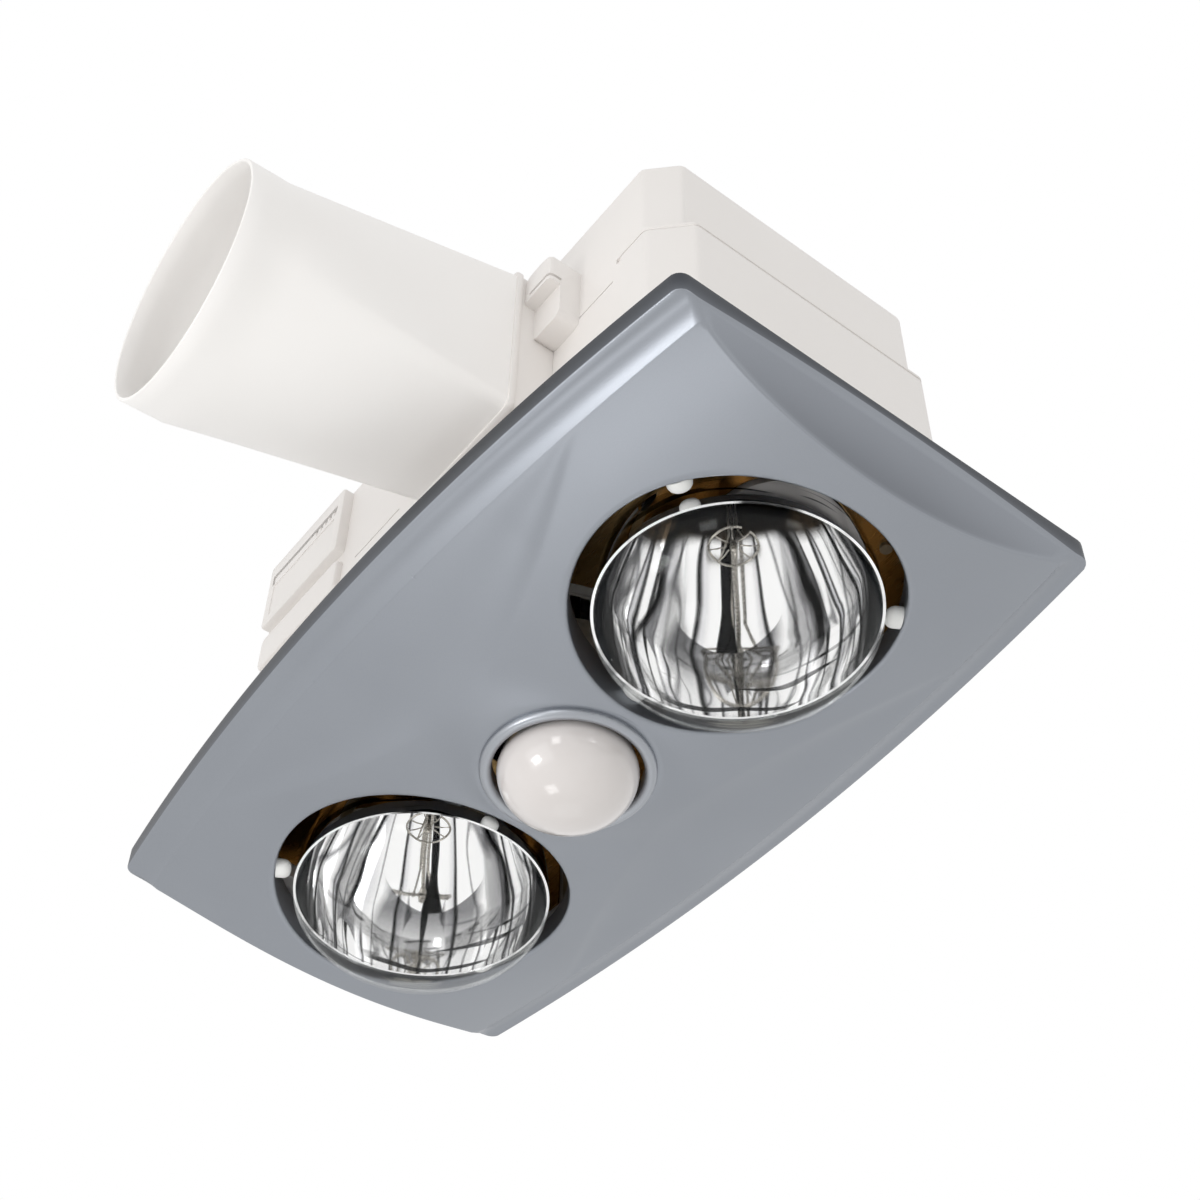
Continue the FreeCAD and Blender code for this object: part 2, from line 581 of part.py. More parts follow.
def make_damper():
    """The backdraft flap, hung from a pin across the collar."""
    pin = doc.addObject("Part::Cylinder", "damper_pin")
    pin.setExpression("Radius", "dims.damper_pin_radius")
    pin.setExpression("Height", "dims.outlet_width")
    seat = Vector(outlet_left, damper_y(), damper_level())
    pin.Placement = FreeCAD.Placement(seat, FreeCAD.Rotation(Y_AXIS, 90))
    subparts.append(pin)
    gap = size.outlet_wall + size.fit_clearance + size.duct_wall + size.damper_side_gap
    margin = "dims.outlet_wall + dims.fit_clearance + dims.duct_wall + dims.damper_side_gap"
    length = f"dims.outlet_width - 2 * ({margin})"
    bench = Bench("damper_flap", Vector(outlet_left + gap, damper_y(), damper_level()))
    drop = damper_level() - size.outlet_bottom - gap - size.damper_side_gap
    bench.pad([circle(0, 0, size.damper_barrel_radius)], length, role="YZ_Plane")
    bench.pad(rectangle(0, -drop / 2, size.damper_thickness, drop), length, role="YZ_Plane")
    bore = [circle(0, 0, size.damper_pin_radius + size.running_clearance)]
    bench.pocket(bore, "dims.outlet_width", role="YZ_Plane", reverse=True)


def make_heat_shield():
    """The bright metal tray round the lamps: a deck with openings and vented skirts."""
    bench = Bench("heat_shield", Vector(0, 0, size.shield_foot_level))
    inset = size.body_wall + size.shield_gap
    rise = "dims.deck_level - dims.shield_foot_level"
    bench.pad(housing_outline(inset), rise + " + dims.shield_wall")
    bench.pocket(housing_outline(inset + size.shield_wall), rise, reverse=True)
    deck = deck_top - size.shield_foot_level
    holes = [circle(side * lamp_offset, 0, neck_hole_radius) for side in (1, -1)]
    holes.append(circle(fan_place.x, fan_place.y, size.impeller_radius))
    holes += [circle(p.x, p.y, screw_hole) for p in spread(boss_offset, boss_screw_y())]
    bench.pocket(holes, "dims.shield_wall * 2", deck)
    collar_notch = rectangle(
        outlet_centre, collar_y + size.fit_clearance - size.collar_depth / 2,
        size.outlet_width + 2 * size.fit_clearance, size.collar_depth,
    )
    bench.pocket(collar_notch, "dims.shield_wall + dims.fit_clearance", deck)
    notches = []
    notch_width = size.spring_width + 4 * size.spring_thickness
    notch_depth = size.spring_lean + 4 * size.spring_thickness
    for place in spread(spring_offset, spring_face - notch_depth / 2):
        notches += rectangle(place.x, place.y, notch_width, notch_depth)
    bench.pocket(notches, "dims.deck_level + dims.shield_wall", deck)
    vents = []
    level = size.vent_level + size.vent_height / 2 - size.shield_foot_level
    for step in (-1, 0, 1):
        vents += rectangle(step * size.vent_spacing, level, size.vent_width, size.vent_height)
    bench.pocket(vents, "dims.body_width", role="XZ_Plane", both=True)
    bench.pocket(vents, "dims.body_length", role="YZ_Plane", both=True)


def make_shield_screws():
    places = spread(boss_offset, boss_screw_y(), size.deck_level)
    grip = size.shield_wall + size.boss_height / 2
    code_part("shield_screws", placed(screw(False, grip), places))


# Heat lamps

def bowl_profile(inset):
    """Edges of the lamp's back from its widest circle up to its neck, drawn in by the glass wall."""
    wide = lamp_radius - inset
    shoulder = lamp_radius - size.lamp_shoulder_drop - inset
    neck = size.lamp_neck_radius - inset
    low, top = -size.lamp_wide_depth, lamp_top
    first, second, third = on_xz(((wide, low), (wide - size.lamp_shoulder_drop / 4, low / 2), (shoulder, 0)))
    fourth, fifth = on_xz(((lamp_mid_radius - inset, top / 2), (neck, top)))
    return [Part.Arc(first, second, third), Part.Arc(third, fourth, fifth)]


def dome_shell(wide, depth, dome, wall):
    """A thin flattened half ball that hangs below its widest circle."""
    def half_ball(radius, height):
        tip, edge = Vector(0, 0, -depth - height), Vector(radius, 0, -depth)
        bulge = Vector(radius * math.sqrt(0.5), 0, -depth - height * math.sqrt(0.5))
        top = Vector(0, 0, -depth)
        curve = Part.BSplineCurve()
        slopes = [Vector(0, 0, -1), Vector(-1, 0, -1), Vector(-1, 0, 0)]
        curve.interpolate([edge, bulge, tip], Tangents=slopes, TangentFlags=[True, False, True])
        return turned([curve, Part.LineSegment(tip, top), Part.LineSegment(top, edge)])
    return half_ball(wide, dome).cut(half_ball(wide - wall, dome - wall))


def make_heat_lamp(name, side):
    """A reflector lamp: clear front glass, mirrored bowl, screw cap and the filament on its mount."""
    place = Vector(side * lamp_offset, 0, 0)
    wall = size.glass_wall
    front = dome_shell(lamp_radius, size.lamp_wide_depth, size.lamp_dome, wall)
    code_part(f"lamp_{name}_front", front, place)
    outer, inner = bowl_profile(0), bowl_profile(wall)
    top = chain(((size.lamp_neck_radius, lamp_top), (size.lamp_neck_radius - wall, lamp_top)))
    low = chain(((lamp_radius - wall, -size.lamp_wide_depth), (lamp_radius, -size.lamp_wide_depth)))
    code_part(f"lamp_{name}_bowl", turned(outer + top + inner[::-1] + low), place)
    make_cap(f"lamp_{name}_cap", place + Vector(0, 0, lamp_top), size.lamp_neck_radius)
    base = Vector(0, 0, size.filament_level)
    mount = Part.makeCylinder(size.stem_radius, lamp_top - size.filament_level, base)
    ring = Part.makeTorus(size.filament_radius, size.wire_radius, base)
    mount = mount.fuse(ring)
    for angle in range(0, 360, 60):
        out = Vector(math.cos(math.radians(angle)), math.sin(math.radians(angle)), 0)
        start = Vector(0, 0, size.filament_level + size.stem_radius)
        spoke = out * size.filament_radius - Vector(0, 0, size.stem_radius)
        mount = mount.fuse(Part.makeCylinder(size.wire_radius / 2, spoke.Length, start, spoke))
    code_part(f"lamp_{name}_filament", mount.removeSplitter(), place)


def make_cap(label, place, neck):
    """A screw cap that closes a lamp's neck, with its contact tip."""
    cap, length = size.cap_radius, size.cap_length
    tip, skirt = size.contact_radius, size.contact_thickness
    Bench(label, place).turn(polygon((
        (0, 0), (neck, 0), (neck, skirt / 2), (cap, skirt), (cap, length - 2 * skirt),
        (tip, length - skirt / 2), (tip, length), (0, length),
    )))


def make_lampholder(name, place, outer, height, screw_offset):
    """A ceramic holder, open below, with a brass contact at the top of its socket."""
    socket = size.cap_radius + size.socket_clearance
    depth = size.cap_length - size.holder_rise + size.socket_clearance + size.contact_thickness
    bench = Bench(name, place)
    bench.turn(polygon(((socket, 0), (outer, 0), (outer, height), (0, height), (0, depth), (socket, depth))))
    if screw_offset:
        holes = [circle(0, side * screw_offset, screw_hole) for side in (1, -1)]
        bench.pocket(holes, "dims.holder_height / 4", height)
    contact = doc.addObject("Part::Cylinder", name + "_contact")
    contact.setExpression("Radius", "dims.contact_radius * 2")
    contact.setExpression("Height", "dims.contact_thickness")
    contact.Placement.Base = place + Vector(0, 0, depth - size.contact_thickness)
    subparts.append(contact)


def make_lamp_brackets():
    """Steel straps across the housing that carry the heat lamps' holders."""
    length = 2 * (inner_wide - size.fit_clearance)
    for name, side in SIDES:
        bench = Bench(f"lamp_bracket_{name}", Vector(side * lamp_offset, 0, bracket_level))
        bench.pad(rectangle(0, 0, size.bracket_width, length), "dims.bracket_thickness")
        places = [bracket_screw_y(), size.holder_screw_spacing / 2]
        holes = [circle(0, end * y, screw_hole) for y in places for end in (1, -1)]
        bench.pocket(holes, "dims.bracket_thickness", size.bracket_thickness)
    ends = spread(lamp_offset, bracket_screw_y(), bracket_top)
    grip = size.bracket_thickness + size.rib_height / 3
    code_part("bracket_screws", placed(screw(True, grip), ends))
    middles = spread(lamp_offset, size.holder_screw_spacing / 2, bracket_top)
    grip = size.bracket_thickness + size.holder_height / 5
    code_part("holder_screws", placed(screw(True, grip), middles))


def make_light():
    """The opal globe lamp in the middle, its holder and the strap that carries the holder."""
    wide, neck, wall = size.globe_radius, size.globe_neck_radius, size.glass_wall
    low, top = -size.globe_wide_depth, size.globe_top
    dome = dome_shell(wide, size.globe_wide_depth, size.globe_dome, wall)

    def neck_edge(inset):
        middle = (wide + neck) / 2 + size.globe_bulge - inset
        return Part.Arc(*on_xz(((wide - inset, low), (middle, (low + top) / 2), (neck - inset, top))))

    ends = chain(((neck, top), (neck - wall, top))), chain(((wide - wall, low), (wide, low)))
    back = turned([neck_edge(0)] + ends[0] + [neck_edge(wall)] + ends[1])
    code_part("light_globe", dome.fuse(back).removeSplitter())
    make_cap("light_globe_cap", Vector(0, 0, top), neck)
    height = size.deck_level - size.light_bracket_thickness - top - size.holder_rise
    make_lampholder("light_holder", Vector(0, 0, top + size.holder_rise), size.light_holder_radius, height, 0)
    bench = Bench("light_bracket", Vector(0, 0, size.deck_level - size.light_bracket_thickness))
    strap = rectangle(0, 0, size.light_bracket_width, 2 * (inner_wide - size.light_bracket_gap))
    bench.pad(strap, "dims.light_bracket_thickness")


# Fan

def spiral(angle, extra):
    """A point of the scroll, which widens clockwise from its tongue to the outlet wall at 0 degrees."""
    grown = (SCROLL_TONGUE - angle) / SCROLL_TONGUE
    radius = scroll_start_radius + (scroll_end_radius - scroll_start_radius) * grown + extra
    turn = math.radians(angle)
    return Vector(fan_place.x + radius * math.cos(turn), fan_place.y + radius * math.sin(turn), 0)


def scroll_outline(extra, start, mouth):
    """The scroll's plan: four arcs of the spiral, then straight walls out to the outlet."""
    step = start / 4
    stops = [start - step * i for i in range(5)]
    edges = []
    for a, b in zip(stops, stops[1:]):
        edges.append(Part.Arc(spiral(a, extra), spiral((a + b) / 2, extra), spiral(b, extra)))
    wall = size.outlet_wall - extra
    right, left = Vector(outlet_right - wall, mouth, 0), Vector(outlet_left + wall, mouth, 0)
    corners = [spiral(0, extra), right, left, spiral(start, extra)]
    return edges + [Part.LineSegment(a, b) for a, b in zip(corners, corners[1:])]


def bolt_places(level=0.0):
    half = size.motor_bolt_spacing / 2
    return [place + fan_place for place in spread(half, half, level)]


def make_scroll():
    wall = size.scroll_wall
    bench = Bench("fan_scroll", Vector(0, 0, deck_top))
    rise = "dims.body_height + dims.scroll_rise - dims.deck_level - dims.shield_wall"
    bench.pad(scroll_outline(wall, SCROLL_BACK, collar_y), rise)
    inside = scroll_outline(0, SCROLL_TONGUE, collar_y - wall)
    bench.pocket(inside, rise + " - dims.scroll_wall", scroll_top - deck_top)
    inlet = [circle(fan_place.x, fan_place.y, size.inlet_radius + wall)]
    bench.pocket(inlet, "dims.scroll_wall", wall)
    lid = Bench("scroll_lid", Vector(0, 0, scroll_top))
    lid.pad(scroll_outline(wall, SCROLL_BACK, collar_y), "dims.scroll_wall")
    holes = [circle(fan_place.x, fan_place.y, size.hub_radius)]
    holes += [circle(p.x, p.y, size.motor_bolt_radius + size.seat_clearance) for p in bolt_places()]
    lid.pocket(holes, "dims.scroll_wall", wall)


def make_inlet_ring():
    """The lipped ring in the scroll's floor that leads air into the impeller."""
    wall, lip = size.scroll_wall, size.inlet_lip
    outer = size.inlet_radius + wall - size.fit_clearance
    Bench("inlet_ring", fan_place + Vector(0, 0, deck_top)).turn(polygon((
        (size.inlet_radius, 0), (outer, 0), (outer, wall), (outer + lip, wall),
        (outer + lip, wall + size.inlet_lip_thickness), (size.inlet_radius, wall + size.inlet_lip_thickness),
    )))


def impeller_levels():
    """The underside of the impeller and the top of its plate."""
    bottom = deck_top + size.scroll_wall + size.inlet_lip_thickness + size.impeller_gap / 2
    return bottom, scroll_top - size.impeller_gap


def make_impeller():
    """A squirrel-cage wheel: a plate and hub at the top, leaning blades and a ring at the bottom."""
    bottom, top = impeller_levels()
    outer, inner, plate = size.impeller_radius, size.impeller_inner_radius, size.impeller_plate
    bore = size.shaft_radius + size.fit_clearance / 10
    disc = Part.makeCylinder(outer, plate, Vector(0, 0, top - plate))
    hub = Part.makeCylinder(size.hub_radius, size.hub_height, Vector(0, 0, top - size.hub_height))
    pieces = [tube(outer, inner, plate, Vector(0, 0, bottom)), hub]
    depth = outer - inner - 2 * size.blade_inset
    for step in range(int(size.blade_count)):
        corner = Vector(inner + size.blade_inset, -size.blade_thickness / 2, bottom + plate / 2)
        blade = Part.makeBox(depth, size.blade_thickness, top - bottom - plate, corner)
        blade.rotate(Vector((inner + outer) / 2, 0, 0), Z_AXIS, size.blade_pitch)
        blade.rotate(Vector(), Z_AXIS, 360 / int(size.blade_count) * step)
        pieces.append(blade)
    wheel = disc.multiFuse(pieces).removeSplitter()
    code_part("impeller", wheel.cut(Part.makeCylinder(bore, top, Vector())), fan_place)
    base = top - size.hub_height
    clip = tube(size.shaft_radius * 2, bore, size.clip_thickness, Vector(0, 0, base - size.clip_thickness))
    code_part("impeller_clip", clip, fan_place)


def make_motor():
    """A flat induction motor on rubber grommets: two plates, a stator with windings, a rotor on its shaft."""
    plate, boss = size.motor_plate, size.bearing_radius + size.bearing_boss_wall
    seat = size.bearing_radius + size.fit_clearance / 10
    shaft_hole = size.shaft_radius + size.socket_clearance
    bolt_hole = size.motor_bolt_radius + size.seat_clearance
    depth = size.bearing_height

    base = Bench("motor_base", fan_place + Vector(0, 0, motor_level))
    base.pad([circle(0, 0, size.motor_radius)], "dims.motor_plate")
    base.pad([circle(0, 0, boss)], "dims.motor_plate + dims.bearing_height")
    base.pocket([circle(0, 0, seat)], "dims.bearing_height", plate + depth)
    local_bolts = spread(size.motor_bolt_spacing / 2, size.motor_bolt_spacing / 2)
    holes = [circle(p.x, p.y, bolt_hole) for p in local_bolts] + [circle(0, 0, shaft_hole)]
    base.pocket(holes, "dims.motor_plate", plate)

    top = Bench("motor_top", fan_place + Vector(0, 0, motor_top_level))
    top.pad([circle(0, 0, size.motor_radius)], "dims.motor_plate")
    top.pad([circle(0, 0, boss)], "dims.bearing_height + dims.motor_plate / 2")
    top.pocket([circle(0, 0, seat)], "dims.bearing_height", reverse=True)
    top.pocket([circle(p.x, p.y, bolt_hole) for p in local_bolts], "dims.motor_plate", plate)

    stator = Bench("motor_stator", fan_place + Vector(0, 0, stator_level))
    stator.pad([circle(0, 0, size.motor_radius)], "dims.stator_height")
    holes = [circle(p.x, p.y, bolt_hole) for p in local_bolts] + [circle(0, 0, size.stator_bore)]
    stator.pocket(holes, "dims.stator_height", size.stator_height)

    coils = [
        tube(size.winding_outer, size.winding_inner, size.winding_height, Vector(0, 0, level))
        for level in (stator_level - size.winding_height, stator_level + size.stator_height)
    ]
    code_part("motor_winding", Part.makeCompound(coils), fan_place)

    lower, upper = motor_level + plate, motor_top_level
    for name, level in (("bearing_lower", lower), ("bearing_upper", upper)):
        bore = size.shaft_radius + size.running_clearance
        code_part(name, tube(size.bearing_radius, bore, depth, Vector(0, 0, level)), fan_place)

    shaft = doc.addObject("Part::Cylinder", "fan_shaft")
    foot = impeller_levels()[1] - size.hub_height - 2 * size.shaft_radius
    shaft.setExpression("Radius", "dims.shaft_radius")
    shaft.Height = upper + depth - size.fit_clearance - foot
    shaft.Placement.Base = fan_place + Vector(0, 0, foot)
    subparts.append(shaft)
    core = tube(size.stator_bore - size.rotor_gap, size.shaft_radius + size.fit_clearance / 10,
                size.stator_height, Vector(0, 0, stator_level))
    code_part("rotor_core", core, fan_place)

    spacers, grommets = [], []
    stator_top = stator_level + size.stator_height
    for level, height in ((lower, size.lower_spacer), (stator_top, size.upper_spacer)):
        spacers += [tube(size.spacer_radius, bolt_hole, height, place) for place in bolt_places(level)]
    for place in bolt_places(lid_top):
        grommets.append(tube(size.grommet_radius, bolt_hole, size.grommet_height, place))
    code_part("motor_spacers", Part.makeCompound(spacers))
    code_part("motor_grommets", Part.makeCompound(grommets))
    bolts = []
    for place in bolt_places(motor_top_level + plate):
        length = motor_top_level + plate - scroll_top
        shank = Part.makeCylinder(size.motor_bolt_radius, length, place - Vector(0, 0, length))
        head = Part.makeCylinder(size.motor_bolt_radius * 2, size.motor_bolt_radius, place)
        bolts.append(shank.fuse(head).removeSplitter())
    code_part("motor_bolts", Part.makeCompound(bolts))


# Wiring parts

def make_terminals():
    """The terminal block on the left lamp bracket and the lid over its window."""
    x, y = -lamp_offset, size.terminal_wall_gap + size.terminal_width / 2 - inner_wide
    ways = int(size.terminal_ways)
    pitch = size.terminal_length / ways
    bench = Bench("terminal_block", Vector(x, y, bracket_top))
    bench.pad(rectangle(0, 0, size.terminal_length, size.terminal_width), "dims.terminal_height")
    steps = [pitch * (i - (ways - 1) / 2) for i in range(ways)]
    spots = [(step, side * size.terminal_width / 4) for step in steps for side in (1, -1)]
    wells = [circle(px, py, pitch / 4) for px, py in spots]
    bench.pocket(wells, "dims.terminal_height / 2", size.terminal_height)
    seat = bracket_top + size.terminal_height / 2
    radius = pitch / 4 - size.seat_clearance
    pin = Part.makeCylinder(radius, size.terminal_height / 3)
    code_part("terminal_screws", placed(pin, [Vector(x + px, y + py, seat) for px, py in spots]))

    lid = Bench("terminal_cover")
    wall = size.terminal_cover_wall
    across, level = -lamp_offset - size.terminal_cover_shift, size.body_height + size.terminal_cover_rise
    length, height = size.terminal_cover_length, size.terminal_cover_height
    outside = rectangle(across, level, length, height)
    inside = rectangle(across, level, length - 2 * wall, height - 2 * wall)
    depth = "dims.terminal_cover_depth"
    lid.pad(outside, depth, cover_front, role="XZ_Plane")
    lid.pocket(inside, depth + " - dims.terminal_cover_wall", cover_front, role="XZ_Plane", reverse=True)
    front = cover_front + size.terminal_cover_depth
    slot = rectangle(across, level + height / 4, length - 6 * wall, wall)
    lid.pocket(slot, "dims.terminal_cover_wall / 2", front, role="XZ_Plane")


def make_cable_gland():
    """The cable entry through the cover's left end, with its lock nut inside."""
    outer, bore = size.gland_radius, size.gland_bore
    centre = Vector(-cover_long, -size.gland_offset, size.body_height + size.gland_rise)
    head = tube(size.gland_hex, bore, size.gland_head, Vector())
    dome = tube(size.gland_dome_radius, bore, size.gland_dome, Vector(0, 0, size.gland_head))
    thread = tube(outer, bore, size.gland_thread, Vector(0, 0, -size.gland_thread))
    gland = head.fuse(dome).fuse(thread).removeSplitter()
    nut = tube(size.gland_hex, outer + size.running_clearance, size.gland_nut,
               Vector(0, 0, -size.cover_wall - size.gland_nut))
    for label, shape in (("cable_gland", gland), ("gland_nut", nut)):
        part = code_part(label, shape)
        part.Placement = FreeCAD.Placement(centre, FreeCAD.Rotation(Y_AXIS, -90))


def make_thermal_cutout():
    """The disc thermostat on the heat shield's deck."""
    disc = Part.makeCylinder(size.cutout_radius, size.cutout_height * 0.6)
    tabs = Part.makeBox(size.cutout_radius * 1.5, size.cutout_radius / 2, size.cutout_height,
                        Vector(-size.cutout_radius * 0.75, -size.cutout_radius / 4, 0))
    place = Vector(size.cutout_offset, inner_wide - size.cutout_wall_gap, deck_top)
    code_part("thermal_cutout", disc.fuse(tabs).removeSplitter(), place)


def make_lampholders():
    for name, side in SIDES:
        place = Vector(side * lamp_offset, 0, lamp_top + size.holder_rise)
        make_lampholder(f"lampholder_{name}", place, size.holder_radius, size.holder_height,
                        size.holder_screw_spacing / 2)
        make_heat_lamp(name, side)


make_fascia()
make_light_ring()
make_fascia_springs()
make_bumpers()
make_ceiling_flange()
make_housing_body()
make_housing_cover()
make_outlet_collar()
make_duct_adaptor()
make_damper()
make_heat_shield()
make_shield_screws()
make_lampholders()
make_lamp_brackets()
make_light()
make_scroll()
make_inlet_ring()
make_impeller()
make_motor()
make_terminals()
make_cable_gland()
make_thermal_cutout()

doc.recompute()
for item in doc.Objects:
    if "Invalid" in item.State or "Error" in item.State:
        raise ValueError(f"{item.Label} failed: {item.State}")
for part in subparts:
    if part.Shape.isNull() or not part.Shape.isValid():
        raise ValueError(f"{part.Label} has no valid shape")
os.makedirs("parts", exist_ok=True)
for part in subparts:
    part.Shape.exportStep(f"parts/{part.Label}.step")
print(len(subparts), "sub-parts")
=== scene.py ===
# %% [markdown]
# A bathroom ceiling heater: a bowed silver fascia with two heat lamps and a light, under a cream housing
# with a fan that blows out through a side duct. The packed CAD model gives every piece its place.

# %% Load the packed frame
import json
import math

import bmesh
import bpy
from mathutils import Matrix, Vector


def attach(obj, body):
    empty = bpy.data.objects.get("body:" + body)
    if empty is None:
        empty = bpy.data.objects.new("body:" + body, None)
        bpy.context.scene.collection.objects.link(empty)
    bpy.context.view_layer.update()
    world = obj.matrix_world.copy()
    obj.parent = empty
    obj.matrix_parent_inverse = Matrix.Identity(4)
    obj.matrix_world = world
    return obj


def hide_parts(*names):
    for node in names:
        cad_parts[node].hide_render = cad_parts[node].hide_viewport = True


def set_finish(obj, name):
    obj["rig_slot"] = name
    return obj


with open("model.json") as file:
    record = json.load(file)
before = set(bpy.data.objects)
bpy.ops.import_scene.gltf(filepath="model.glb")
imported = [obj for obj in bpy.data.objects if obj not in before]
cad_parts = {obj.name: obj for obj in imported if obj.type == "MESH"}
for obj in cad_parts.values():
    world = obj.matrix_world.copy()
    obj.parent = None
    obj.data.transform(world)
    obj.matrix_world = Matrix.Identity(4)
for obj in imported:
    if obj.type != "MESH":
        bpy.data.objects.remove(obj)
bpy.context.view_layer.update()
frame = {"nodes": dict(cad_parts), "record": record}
MM = 0.001

# %% [markdown]
# Finishes are sums of masks and textures. Blender could be given these as chains of nodes made by hand,
# but a sum reads better as a sum: a Wire is one socket, and adding or multiplying wires adds Math nodes.
# A Recipe is the tree that they live in, and its one method makes any other kind of node.

# %% Shader sums as Python


class Wire:
    """One output socket, with the operators that the finishes use."""

    def __init__(self, recipe, socket):
        self.recipe, self.socket = recipe, socket

    def __add__(self, other):
        return self.recipe.sum("ADD", self, other)

    def __sub__(self, other):
        return self.recipe.sum("SUBTRACT", self, other)

    def __rsub__(self, other):
        return self.recipe.sum("SUBTRACT", other, self)

    def __mul__(self, other):
        return self.recipe.sum("MULTIPLY", self, other)

    def __truediv__(self, other):
        return self.recipe.sum("DIVIDE", self, other)

    def __pow__(self, power):
        return self.recipe.sum("POWER", self, power)

    __radd__, __rmul__ = __add__, __mul__

    def rises(self, start, end):
        """0 below start, 1 past end, and a soft step between."""
        sockets = {"Value": self, "From Min": start, "From Max": end}
        return self.recipe.node("ShaderNodeMapRange", {"interpolation_type": "SMOOTHSTEP"}, sockets)


class Recipe:
    """A node tree that is written as expressions."""

    def __init__(self, tree):
        self.tree = tree

    def node(self, kind, settings=None, sockets=None, out=0):
        made = self.tree.nodes.new(kind)
        for name, value in (settings or {}).items():
            if name == "stops":
                self.set_stops(made.color_ramp, value)
            else:
                setattr(made, name, value)
        for key, value in (sockets or {}).items():
            self.feed(made.inputs[key], value)
        return Wire(self, made.outputs[out])

    def set_stops(self, ramp, stops):
        for place, _ in stops[1:-1]:
            ramp.elements.new(place)
        for element, (place, colour) in zip(ramp.elements, stops):
            element.position, element.color = place, colour

    def feed(self, socket, value):
        if isinstance(value, Wire):
            self.tree.links.new(value.socket, socket)
        else:
            socket.default_value = value

    def sum(self, operation, *terms):
        return self.node("ShaderNodeMath", {"operation": operation}, dict(enumerate(terms)))

    def blend(self, share, first, second):
        """A colour between two, by a share from 0 to 1."""
        return self.node("ShaderNodeMix", {"data_type": "RGBA"}, {0: share, 6: first, 7: second}, out=2)


print("Wire methods:", [name for name, part in vars(Wire).items() if callable(part)])

# %% [markdown]
# A finish is a material with one main shader. Its textures are laid out in metres in the object's own space,
# so a grain of half a millimetre is that size on every piece, and nothing needs unwrapping.

# %% The finish and its textures
finishes = {}


def paint(red, green, blue):
    """A colour as a screen shows it, 0 to 255, for a shader's socket."""
    linear = [((c / 255 + 0.055) / 1.055) ** 2.4 if c > 10 else c / 255 / 12.92 for c in (red, green, blue)]
    return (*linear, 1.0)


class Finish(Recipe):
    """A material named for the record's slot, with its main shader at hand."""

    def __init__(self, slot, constants):
        self.material = bpy.data.materials.new(slot)
        self.material.use_nodes = True
        super().__init__(self.material.node_tree)
        self.shader = self.tree.nodes["Principled BSDF"]
        self.place = self.node("ShaderNodeTexCoord", out="Object")
        self.coat_with(constants)
        finishes[slot] = self.material

    def coat_with(self, sockets):
        for name, value in sockets.items():
            self.feed(self.shader.inputs[name], value)

    def grain(self, size_mm, stretch=(1, 1, 1), detail=2.0):
        """Noise whose lumps are about size_mm wide, drawn out along an axis by a stretch below 1."""
        lie = self.node("ShaderNodeMapping", {}, {"Vector": self.place, "Scale": stretch})
        sockets = {"Vector": lie, "Scale": 1 / (size_mm * MM), "Detail": detail}
        return self.node("ShaderNodeTexNoise", {}, sockets)

    def along(self, axis):
        """The place on one axis, in metres."""
        return self.node("ShaderNodeSeparateXYZ", {}, {0: self.place}, out=axis)

    def dent(self, height, depth_mm, strength=1.0):
        """A bump whose full height is depth_mm."""
        sockets = {"Strength": strength, "Distance": depth_mm * MM, "Height": height}
        return self.node("ShaderNodeBump", {}, sockets, out="Normal")


print("paint(128, 128, 128) is", [round(c, 3) for c in paint(128, 128, 128)])

# %% [markdown]
# Most pieces are skins over rings: a lamp is rings of one radius each, and the housing is rings of eight
# rounded corners. They could be swept or lathed one by one, but one helper that joins rings serves them
# all. Lengths are in millimetres here and turn into metres as the mesh is made.

# %% Skins over rings


def skin(rings, shut=False):
    """Points and faces that join rings of equally many points; shut joins the last to the first."""
    count = len(rings[0])
    faces = []
    for row in range(len(rings) if shut else len(rings) - 1):
        first, second = row * count, (row + 1) % len(rings) * count
        for k in range(count):
            after = (k + 1) % count
            faces.append((first + k, first + after, second + after, second + k))
    return [point for ring in rings for point in ring], faces


def joined(*shapes):
    """Several sets of points and faces as one."""
    points, faces = [], []
    for some_points, some_faces in shapes:
        faces += [[index + len(points) for index in face] for face in some_faces]
        points += some_points
    return points, faces


def capped(rings):
    """A skin whose first and last rings are closed by flat faces."""
    points, faces = skin(rings)
    count, last = len(rings[0]), len(points) - 1
    return points, faces + [list(range(count)), [last - k for k in range(count)]]


print("faces of a capped prism:", len(capped([[(0, 0, 0)] * 3] * 2)[1]))

# %% [markdown]
# A piece is a mesh that rides on one body of the frame and often stands in for a CAD node. Its points that
# lie on each other are welded, and its faces are shaded smooth up to an angle, as moulded edges look.

# %% Pieces
WELD, CRISP = 0.002, 35


def mesh_of(name, shape):
    """A mesh in metres, welded, whose faces look outwards."""
    points, faces = shape
    mesh = bpy.data.meshes.new(name)
    mesh.from_pydata([Vector(point) * MM for point in points], [], faces)
    work = bmesh.new()
    work.from_mesh(mesh)
    bmesh.ops.remove_doubles(work, verts=work.verts, dist=WELD * MM)
    bmesh.ops.recalc_face_normals(work, faces=work.faces)
    work.to_mesh(mesh)
    work.free()
    return mesh


def put_in_scene(name, data):
    """A new object in the scene's own collection."""
    thing = bpy.data.objects.new(name, data)
    bpy.context.scene.collection.objects.link(thing)
    return thing


def soften(piece, crisp):
    piece.data.shade_smooth()
    piece.data.set_sharp_from_angle(angle=math.radians(crisp))


def make_piece(name, shape, body, slot, *nodes, crisp=CRISP):
    """A smooth mesh that rides on a body, stands for CAD nodes and keeps edges over crisp degrees."""
    piece = put_in_scene(name, mesh_of(name, shape))
    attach(piece, body)
    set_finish(piece, slot)
    if nodes:
        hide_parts(*nodes)
    soften(piece, crisp)
    return piece


